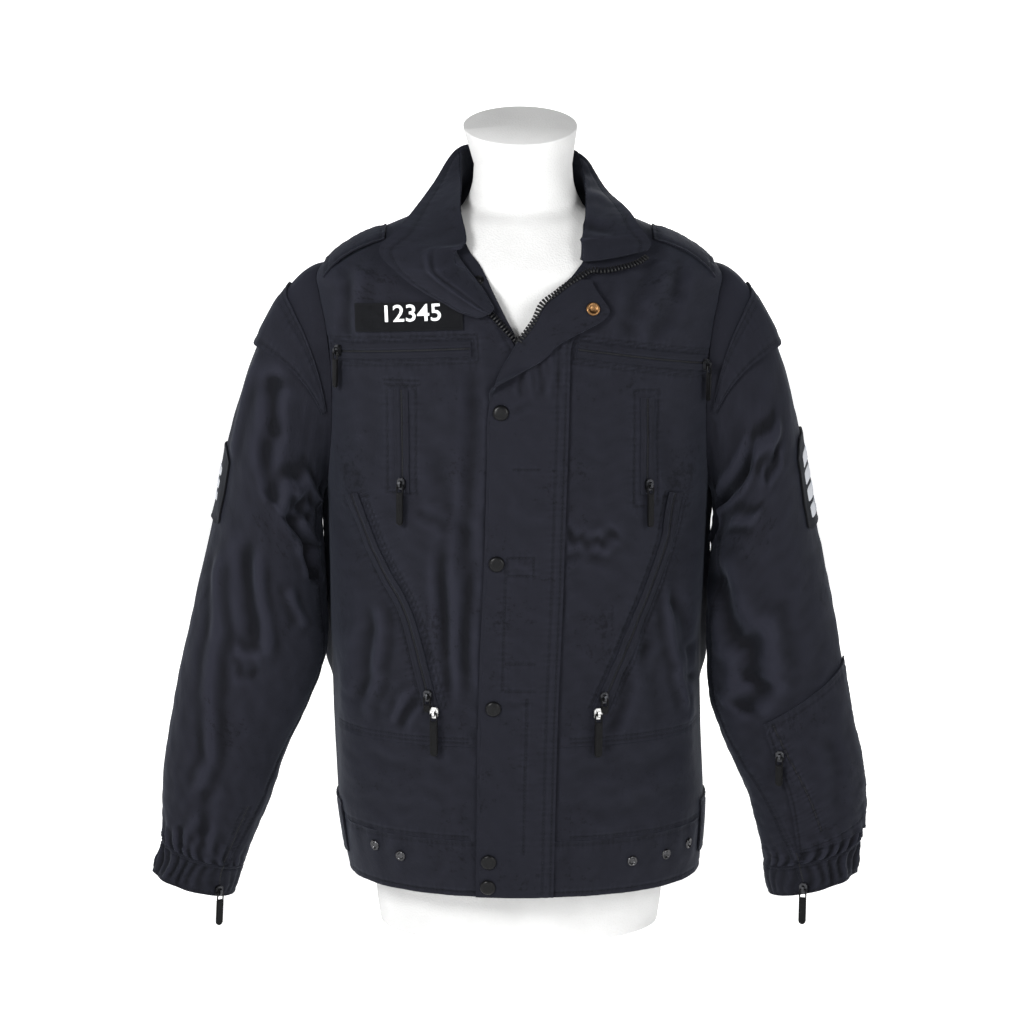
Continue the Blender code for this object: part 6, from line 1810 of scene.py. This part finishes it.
def snaps():
    for number, (x, z) in enumerate(SNAPS, 1):
        place, normal = front_place(x, z, FLAP_LAY + DOUBLE_CLOTH + SNAP_LAY)
        turned("flap_snap_cap_%d" % number, SNAP_PROFILE, place, normal, MATERIALS["snap"], "snap",
               ["flap_snap_%d" % number])
    top_layer = FLAP_LAY + DOUBLE_CLOTH + 2 * FLAP_TURN_RADIUS
    place, normal = front_place(*SOCKET, top_layer + SNAP_LAY)
    turned("flap_socket_ring", SOCKET_PROFILE, place, normal, MATERIALS["socket"], "socket", ["flap_socket"])
    for number, (x, z) in enumerate(RING_SNAPS, 1):
        angle = front_angle(x, z)
        places, normals = band_surface(np.array([float(angle)]), np.array([z]), 0.0002)
        turned("hem_ring_%d" % number, RING_PROFILE, places[0], normals[0], MATERIALS["ring"], "slider")
    place, normal = front_place(*STUD, -LAY - CLOTH + 0.0001)
    turned("underlap_stud", STUD_PROFILE, place, normal, MATERIALS["snap"], "snap")


def mesh_arrays(shape):
    shape.verts.ensure_lookup_table()
    shape.verts.index_update()
    vertices = np.array([tuple(vertex.co) for vertex in shape.verts])
    faces = [tuple(vertex.index for vertex in face.verts) for face in shape.faces]
    shape.free()
    return vertices, faces


def rounded_block(low, high, radius):
    shape = bmesh.new()
    bmesh.ops.create_cube(shape, size=1)
    for vertex in shape.verts:
        for axis in range(3):
            vertex.co[axis] = low[axis] + (high[axis] - low[axis]) * (vertex.co[axis] + 0.5)
    upright = [edge for edge in shape.edges if abs(edge.verts[0].co.z - edge.verts[1].co.z) > 0.0005]
    bmesh.ops.bevel(shape, geom=upright, offset=radius, segments=3, affect="EDGES")
    rims = [edge for edge in shape.edges if len(edge.link_faces) == 2 and edge.calc_face_angle(0) > 1.0]
    bmesh.ops.bevel(shape, geom=rims, offset=min(0.0005, radius / 2), segments=2, affect="EDGES")
    return mesh_arrays(shape)


def rod(path, radius):
    """A closed tube through the points of a path."""
    sides = 10
    path = np.asarray(path, float)
    run = unit(np.gradient(path, axis=0))
    helper = np.array((0.0, 0.0, 1.0)) if abs(run[0][2]) < 0.9 else np.array((1.0, 0.0, 0.0))
    first = unit(np.cross(run, helper))
    second = np.cross(run, first)
    turn = np.linspace(0, 2 * math.pi, sides, endpoint=False)
    rings = path[:, None] + radius * (first[:, None] * np.cos(turn)[None, :, None]
                                      + second[:, None] * np.sin(turn)[None, :, None])
    vertices = rings.reshape(-1, 3)
    faces = [tuple(face) for face in grid_faces(len(path), sides, True)]
    faces += [tuple(range(sides))[::-1], tuple(range(len(vertices) - sides, len(vertices)))]
    return vertices, faces


def arch():
    """The slider's bridge, a bent flat strap."""
    path = np.array(BRIDGE_ARCH)
    run = unit(np.gradient(path, axis=0))
    inward = np.stack((-run[:, 1], run[:, 0]), -1) * BRIDGE_THICKNESS / 2
    w = BRIDGE_HALF_WIDTH
    rings = []
    for (y, z), (ny, nz) in zip(path, inward):
        rings.append([(-w, y - ny, z - nz), (w, y - ny, z - nz), (w, y + ny, z + nz), (-w, y + ny, z + nz)])
    vertices = np.array(rings).reshape(-1, 3)
    faces = [tuple(face) for face in grid_faces(len(path), 4, True)]
    faces += [(3, 2, 1, 0), tuple(range(len(vertices) - 4, len(vertices)))]
    return vertices, faces


def pull_tab(length, half_width):
    """The flat tab below the eye, with a rounded end and a shallow dish."""
    shape = bmesh.new()
    start = PULL_EYE["length"] - PULL_EYE["foot"] / 2
    round_start = length - PULL_ROUND
    outline = [(-half_width * 0.86, start), (half_width * 0.86, start), (half_width, start + 0.0012)]
    for i in range(0, 13):
        turn = math.pi * i / 12
        outline.append((half_width * math.cos(turn), round_start + PULL_ROUND * math.sin(turn)))
    outline.append((-half_width, start + 0.0012))
    low = [shape.verts.new((x, y, -PULL_THICKNESS / 2)) for x, y in outline]
    face = shape.faces.new(low)
    raised = bmesh.ops.extrude_face_region(shape, geom=[face])
    for vertex in (v for v in raised["geom"] if isinstance(v, bmesh.types.BMVert)):
        vertex.co.z = PULL_THICKNESS / 2
    top = next(f for f in raised["geom"] if isinstance(f, bmesh.types.BMFace))
    bmesh.ops.recalc_face_normals(shape, faces=shape.faces)
    bmesh.ops.bevel(shape, geom=list(top.edges), offset=PULL_EDGE, segments=2, affect="EDGES")
    wide = max((f for f in shape.faces if f.normal.z > 0.9), key=lambda f: f.calc_area())
    bmesh.ops.inset_region(shape, faces=[wide], thickness=0.0008)
    bmesh.ops.inset_region(shape, faces=[wide], thickness=0.0004, depth=-PULL_DISH)
    return mesh_arrays(shape)


def joined(parts):
    vertices, faces, count = [], [], 0
    for part_vertices, part_faces in parts:
        vertices.append(np.asarray(part_vertices))
        faces += [tuple(count + i for i in face) for face in part_faces]
        count += len(part_vertices)
    return np.concatenate(vertices), faces


def surface_axes(normal):
    """Rows: along the bar, down along the cloth, out of it; the pull hangs straight down."""
    out = unit(np.asarray(normal, float))
    down = np.array((0.0, 0.0, -1.0))
    down = unit(down - out * np.dot(down, out))
    return np.array((np.cross(down, out), down, out))


def zip_fitting(name, place, normal, length, half_width):
    axes = surface_axes(normal)
    body = rounded_block((-SLIDER["half_width"], -SLIDER["above"], SLIDER["base"]),
                         (SLIDER["half_width"], SLIDER["below"], SLIDER["top"]), SLIDER["round"])
    metal = "bright" if "diagonal" in name and "lower" in name else "slider"
    vertices, faces = joined([body, arch()])
    add_piece("slider_%s_body" % name, vertices @ axes + place, faces, MATERIALS[metal],
              ["slider_" + name], smooth_angle=35)
    r, eye = PULL_BAR_RADIUS, PULL_EYE
    side = eye["half_width"] - r
    bottom = eye["length"] - eye["foot"] / 2 + 0.0006
    left = [(-side, bottom, 0), (-side, 0.0018, 0), (-side * 0.92, 0.0006, 0), (-side * 0.7, 0, 0)]
    loop = left + [(0, 0, 0)] + [(-x, y, z) for x, y, z in reversed(left)]
    vertices, faces = joined([rod(loop, r * 0.95), pull_tab(length, half_width)])
    add_piece("pull_%s_tab" % name, vertices @ axes + place, faces, MATERIALS["pull"],
              ["pull_" + name], body="pull_" + name, smooth_angle=35)


def zip_fittings():
    for name, x, z, length, half_width, beneath in FRONT_ZIPS:
        place, normal = front_place(x, z, beneath + BAR_HEIGHT)
        zip_fitting(name, place, normal, length, half_width)
    for name, side, step, angle, length, beneath in SLEEVE_ZIPS:
        place = sleeve_point(side, step, angle, beneath + BAR_HEIGHT)
        normal = sleeve_normal(side, np.float64(step), np.float64(angle))
        zip_fitting(name, place, normal, length, SLEEVE_PULL_HALF_WIDTH)


def teeth_pieces():
    coil, coil_faces = tooth_shape(COIL)
    batch = Batch()
    runs = [(line, LAY) for _, line in CHEST_ZIP_STRIPS + VERTICAL_STRIPS]
    runs += [(smooth_route(route), BIAS_LAY) for _, route in DIAGONAL_ROUTES]
    for line, lay in runs:
        x, z = dense(line)
        points, normals = front_surface(x, z, lay + STRIP - STRIP_GROOVE["depth"], sewn=False)
        batch.add(coil, coil_faces, *at_spacing(points, normals, COIL["pitch"]))
    points, normals = pocket_surface(*sleeve_route(FOREARM_ZIP))
    batch.add(coil, coil_faces, *at_spacing(points, normals, COIL["pitch"]))
    for side in (-1, 1):
        step, angle = sleeve_route(CUFF_ZIPS[side])
        upper = step < SLEEVE_END_STEP
        points, normals = sleeve_surface(side, step, angle)
        low_points, low_normals = cuff_surface(side, np.maximum(step, SLEEVE_END_STEP), angle)
        points = np.where(upper[:, None], points, low_points)
        normals = np.where(upper[:, None], normals, low_normals)
        batch.add(coil, coil_faces, *at_spacing(points, normals, COIL["pitch"]))
    batch.finish("pocket_zip_teeth", MATERIALS["coil"])
    big, big_faces = tooth_shape(TEETH)
    batch = Batch()
    for route, lift in MAIN_TEETH:
        middle = smooth_route(route, 60)
        x, z = dense(middle)
        points = front_point(x, z, lift)
        normals = body_normal(front_angle(x, z), z)
        batch.add(big, big_faces, *at_spacing(points, normals, TEETH["pitch"]))
    batch.finish("main_zip_teeth", MATERIALS["teeth"])


def sewing_pieces():
    """The stitches of every row, one object for each part of the garment."""
    shape, faces = stitch_shape()
    lift = STITCH["lift"]

    def gather(name, rows):
        batch = Batch()
        for points, normals in rows:
            batch.add(shape, faces, *at_spacing(points, normals, STITCH["pitch"]))
        batch.finish(name, MATERIALS["thread"])

    rows = []
    for line in FRONT_SEWING:
        x, z = dense(line)
        seen = under_flap(x, z) < 0.5
        if seen.sum() > 3:
            rows.append(front_surface(x[seen], z[seen], lift))
    gather("sewing_fronts", rows)
    rows = [flap_row(line, lift) for line in FLAP_SEWING]
    z = np.linspace(0.066, 0.560, 400)
    for inward in FLAP_ROWS:
        seam_x, fold_x = section_at(STORM_FLAP, z)[:2]
        rows.append(flap_surface(inward / (seam_x - fold_x), z, DOUBLE_CLOTH / 2 + lift))
    gather("sewing_flap", rows)
    for side in (-1, 1):
        rows = []
        for line in SEWN_SLEEVES[side]:
            u, v = dense(line)
            rows.append(sleeve_surface(side, step_at(v), u / SLEEVE_DEGREE, lift))
        reach = np.linspace(-CAP["reach"], CAP["reach"], 300)
        for share in (0.10, 0.195, 0.90):
            rows.append(cap_surface(side, reach, np.full_like(reach, share), lift))
        full = np.linspace(0, 1, 60)
        for share in (0.065, 0.935):
            rows.append(loop_surface(side, np.full_like(full, share), full, lift))
        for share in (0.08, 0.92):
            rows.append(loop_surface(side, full, np.full_like(full, share), lift))
        turn = np.linspace(0, 360, 400)
        for share in (0.126, 0.926):
            step = SLEEVE_END_STEP + CUFF_GAP + share * (SLEEVE_LAST_STEP - SLEEVE_END_STEP - CUFF_GAP)
            rows.append(cuff_surface(side, np.full_like(turn, step), turn, lift))
        gather("sewing_sleeve_" + side_name(side), rows)
    rows = []
    share = np.linspace(0.01, 0.99, 400)
    rows.append(collar_surface(share, np.full_like(share, COLLAR_ROW), lift))
    angle = np.linspace(-1, 355, 900)
    for z in (HEM_Z + HEM_ROW, BAND_SEAM_Z - BAND_TOP_ROW):
        rows.append(band_surface(angle, np.full_like(angle, z), lift))
    angle = np.linspace(92, 268, 500)
    rows.append(back_surface(angle, np.full_like(angle, BAND_SEAM_Z + SEAM_ROW), lift))
    pocket_lines = [[(4.62, 112), (4.16, 9)], [(7.68, 111), (7.68, 9)]] + FOREARM_SEWING
    for line in pocket_lines:
        rows.append(pocket_surface(*sleeve_route(line), lift))
    gather("sewing_collar_band_and_pocket", rows)


def flap_row(line, lift):
    """Stitches along a line of (x, z) points on the flat part of the storm flap."""
    x, z = dense(line)
    seam_x, fold_x = section_at(STORM_FLAP, z)[:2]
    return flap_surface((seam_x - x) / (seam_x - fold_x), z, DOUBLE_CLOTH / 2 + lift)


# The dress form

def dress_form():
    rows = [tuple(row) for row in FORM_TRUNK]
    inset = FORM_SHOULDER_INSET
    for z in FORM_SHOULDER_ROWS:
        width, front, back, _, power = section_at(BODY, np.float64(z + FORM_SHOULDER_DROP))
        rows.append((z, min(float(width), FORM_SHOULDER_HALF_WIDTH), float(front) - CLOTH - inset,
                     float(back) - CLOTH - inset, 0.0, float(power)))
    table = np.array(rows + [tuple(row) for row in FORM_NECK])
    angle = np.linspace(0, 360, 120, endpoint=False)
    turn = np.radians(angle)
    rings = [ring_point(table, angle, np.full_like(angle, z)) for z in np.linspace(0, FORM_NECK[-1, 0], 180)]
    depth = np.where(np.cos(turn) >= 0, NECK_TOP["front"], NECK_TOP["back"])
    top_y = -depth * np.cos(turn)
    top_x = NECK_TOP["middle"] + NECK_TOP["half_width"] * np.sin(turn)
    top = np.stack((top_x, top_y, NECK_TOP["middle_z"] + NECK_TOP["slope"] * top_y), -1)
    last = rings[-1]
    rings += [last * (1 - t) + top * t for t in np.linspace(0, 1, 16)[1:-1]]
    centre = top.mean(axis=0)
    rings += [top * 0.992 + centre * 0.008 - np.array((0, 0, 0.0004)), top * 0.985 + centre * 0.015]
    rings[0] = rings[0] * np.array((0.985, 0.985, 1))
    rings.insert(1, ring_point(table, angle, np.full_like(angle, 0.0012)))
    vertices, faces = closed_rings(np.array(rings), (0, 0, 0), tuple(rings[-1].mean(axis=0)))
    add_piece("dress_form_foam", vertices, faces, MATERIALS["foam"], ["dress_form"], smooth_angle=40)


# The whole scene

def build():
    dress_form()
    half = SEAM_GAP / 2
    for side in (-1, 1):
        name = side_name(side)
        front_panel("front_" + name, side, WAIST_SEAM_Z + half, SHOULDER_END_Z, 112)
        front_panel("front_lower_" + name, side, BAND_SEAM_Z + half, WAIST_SEAM_Z - half, 112)
        sleeve_piece("sleeve_top_" + name, side, 2, 1, 112)
        sleeve_piece("sleeve_under_" + name, side, 1, 2, 44)
        cuff(side)
        cap_flap(side)
        shoulder_loop(side)
        side_tab(side)
    back_panel()
    hem_band()
    collar()
    underlap()
    storm_flap()
    forearm_pocket()
    for patch in PATCHES:
        arm_patch(*patch)
    name_tape()
    tape_digits()
    zip_strips()
    snaps()
    zip_fittings()
    teeth_pieces()
    sewing_pieces()


# Light, floor and camera

CAMERA = dict(lens=88.0, sensor=36.0, place=(-0.0074, -2.6, 0.822), target=(-0.0074, 0.0, 0.438))
WORLD_STRENGTH = 0.12
STUDIO_RADIUS = 9.0
STUDIO_WALL = 3.2
FLOOR_GLOW = 0.72
BACKDROP_GLOW = 0.90
# Soft lamps: name, place, where it points, size, power
LAMPS = [
    ("key", (-0.85, -1.25, 1.10), (0, 0, 0.62), 0.5, 24),
    ("fill", (1.00, -1.30, 1.00), (0, 0, 0.60), 0.6, 12),
    ("back", (0.4, 1.7, 1.2), (0, 0, 0.50), 1.0, 18),
]


def looking(place, target):
    return (Vector(target) - Vector(place)).to_track_quat("-Z", "Y").to_euler()


def area_light(name, place, target, size, power):
    light = bpy.data.lights.new(name, "AREA")
    light.energy = power
    light.size = size
    lamp = bpy.data.objects.new(name, light)
    lamp.location = place
    lamp.rotation_euler = looking(place, target)
    bpy.context.scene.collection.objects.link(lamp)


def studio():
    scene = bpy.context.scene
    scene.view_settings.view_transform = "Standard"
    world = bpy.data.worlds.new("studio")
    world.use_nodes = True
    world.node_tree.nodes["Background"].inputs["Color"].default_value = (1, 1, 1, 1)
    world.node_tree.nodes["Background"].inputs["Strength"].default_value = WORLD_STRENGTH
    scene.world = world
    turn = np.linspace(0, 2 * math.pi, 64, endpoint=False)
    ring = np.stack((np.cos(turn), np.sin(turn), 0 * turn), -1) * STUDIO_RADIUS
    wall = np.concatenate((ring, ring + np.array((0, 0, STUDIO_WALL))))
    floor_mesh = bpy.data.meshes.new("floor")
    floor_mesh.from_pydata(ring.tolist(), [], [tuple(range(64))])
    wall_mesh = bpy.data.meshes.new("backdrop")
    wall_mesh.from_pydata(wall.tolist(), [], grid_faces(2, 64, True).tolist())
    for name, mesh, glow in (("floor", floor_mesh, FLOOR_GLOW), ("backdrop", wall_mesh, BACKDROP_GLOW)):
        material, tree, shader = node_tree("pale_" + name)
        place = tree.nodes.new("ShaderNodeTexCoord").outputs["Object"]
        grain = texture(tree, "ShaderNodeTexNoise", place, Scale=3.0)
        tree.links.new(colour_between(tree, grain.outputs["Fac"], (0.84, 0.84, 0.84), (0.86, 0.86, 0.86)),
                       shader.inputs["Base Color"])
        shader.inputs["Roughness"].default_value = 0.9
        shader.inputs["Specular IOR Level"].default_value = 0.1
        shader.inputs["Emission Color"].default_value = (1, 1, 1, 1)
        shader.inputs["Emission Strength"].default_value = glow
        mesh.materials.append(material)
        piece = bpy.data.objects.new(name, mesh)
        scene.collection.objects.link(piece)
    for lamp in LAMPS:
        area_light(*lamp)


def camera():
    lens = bpy.data.cameras.new("camera")
    lens.lens = CAMERA["lens"]
    lens.sensor_width = CAMERA["sensor"]
    eye = bpy.data.objects.new("camera", lens)
    eye.location = CAMERA["place"]
    eye.rotation_euler = looking(CAMERA["place"], CAMERA["target"])
    bpy.context.scene.collection.objects.link(eye)
    bpy.context.scene.camera = eye


build()
studio()
camera()
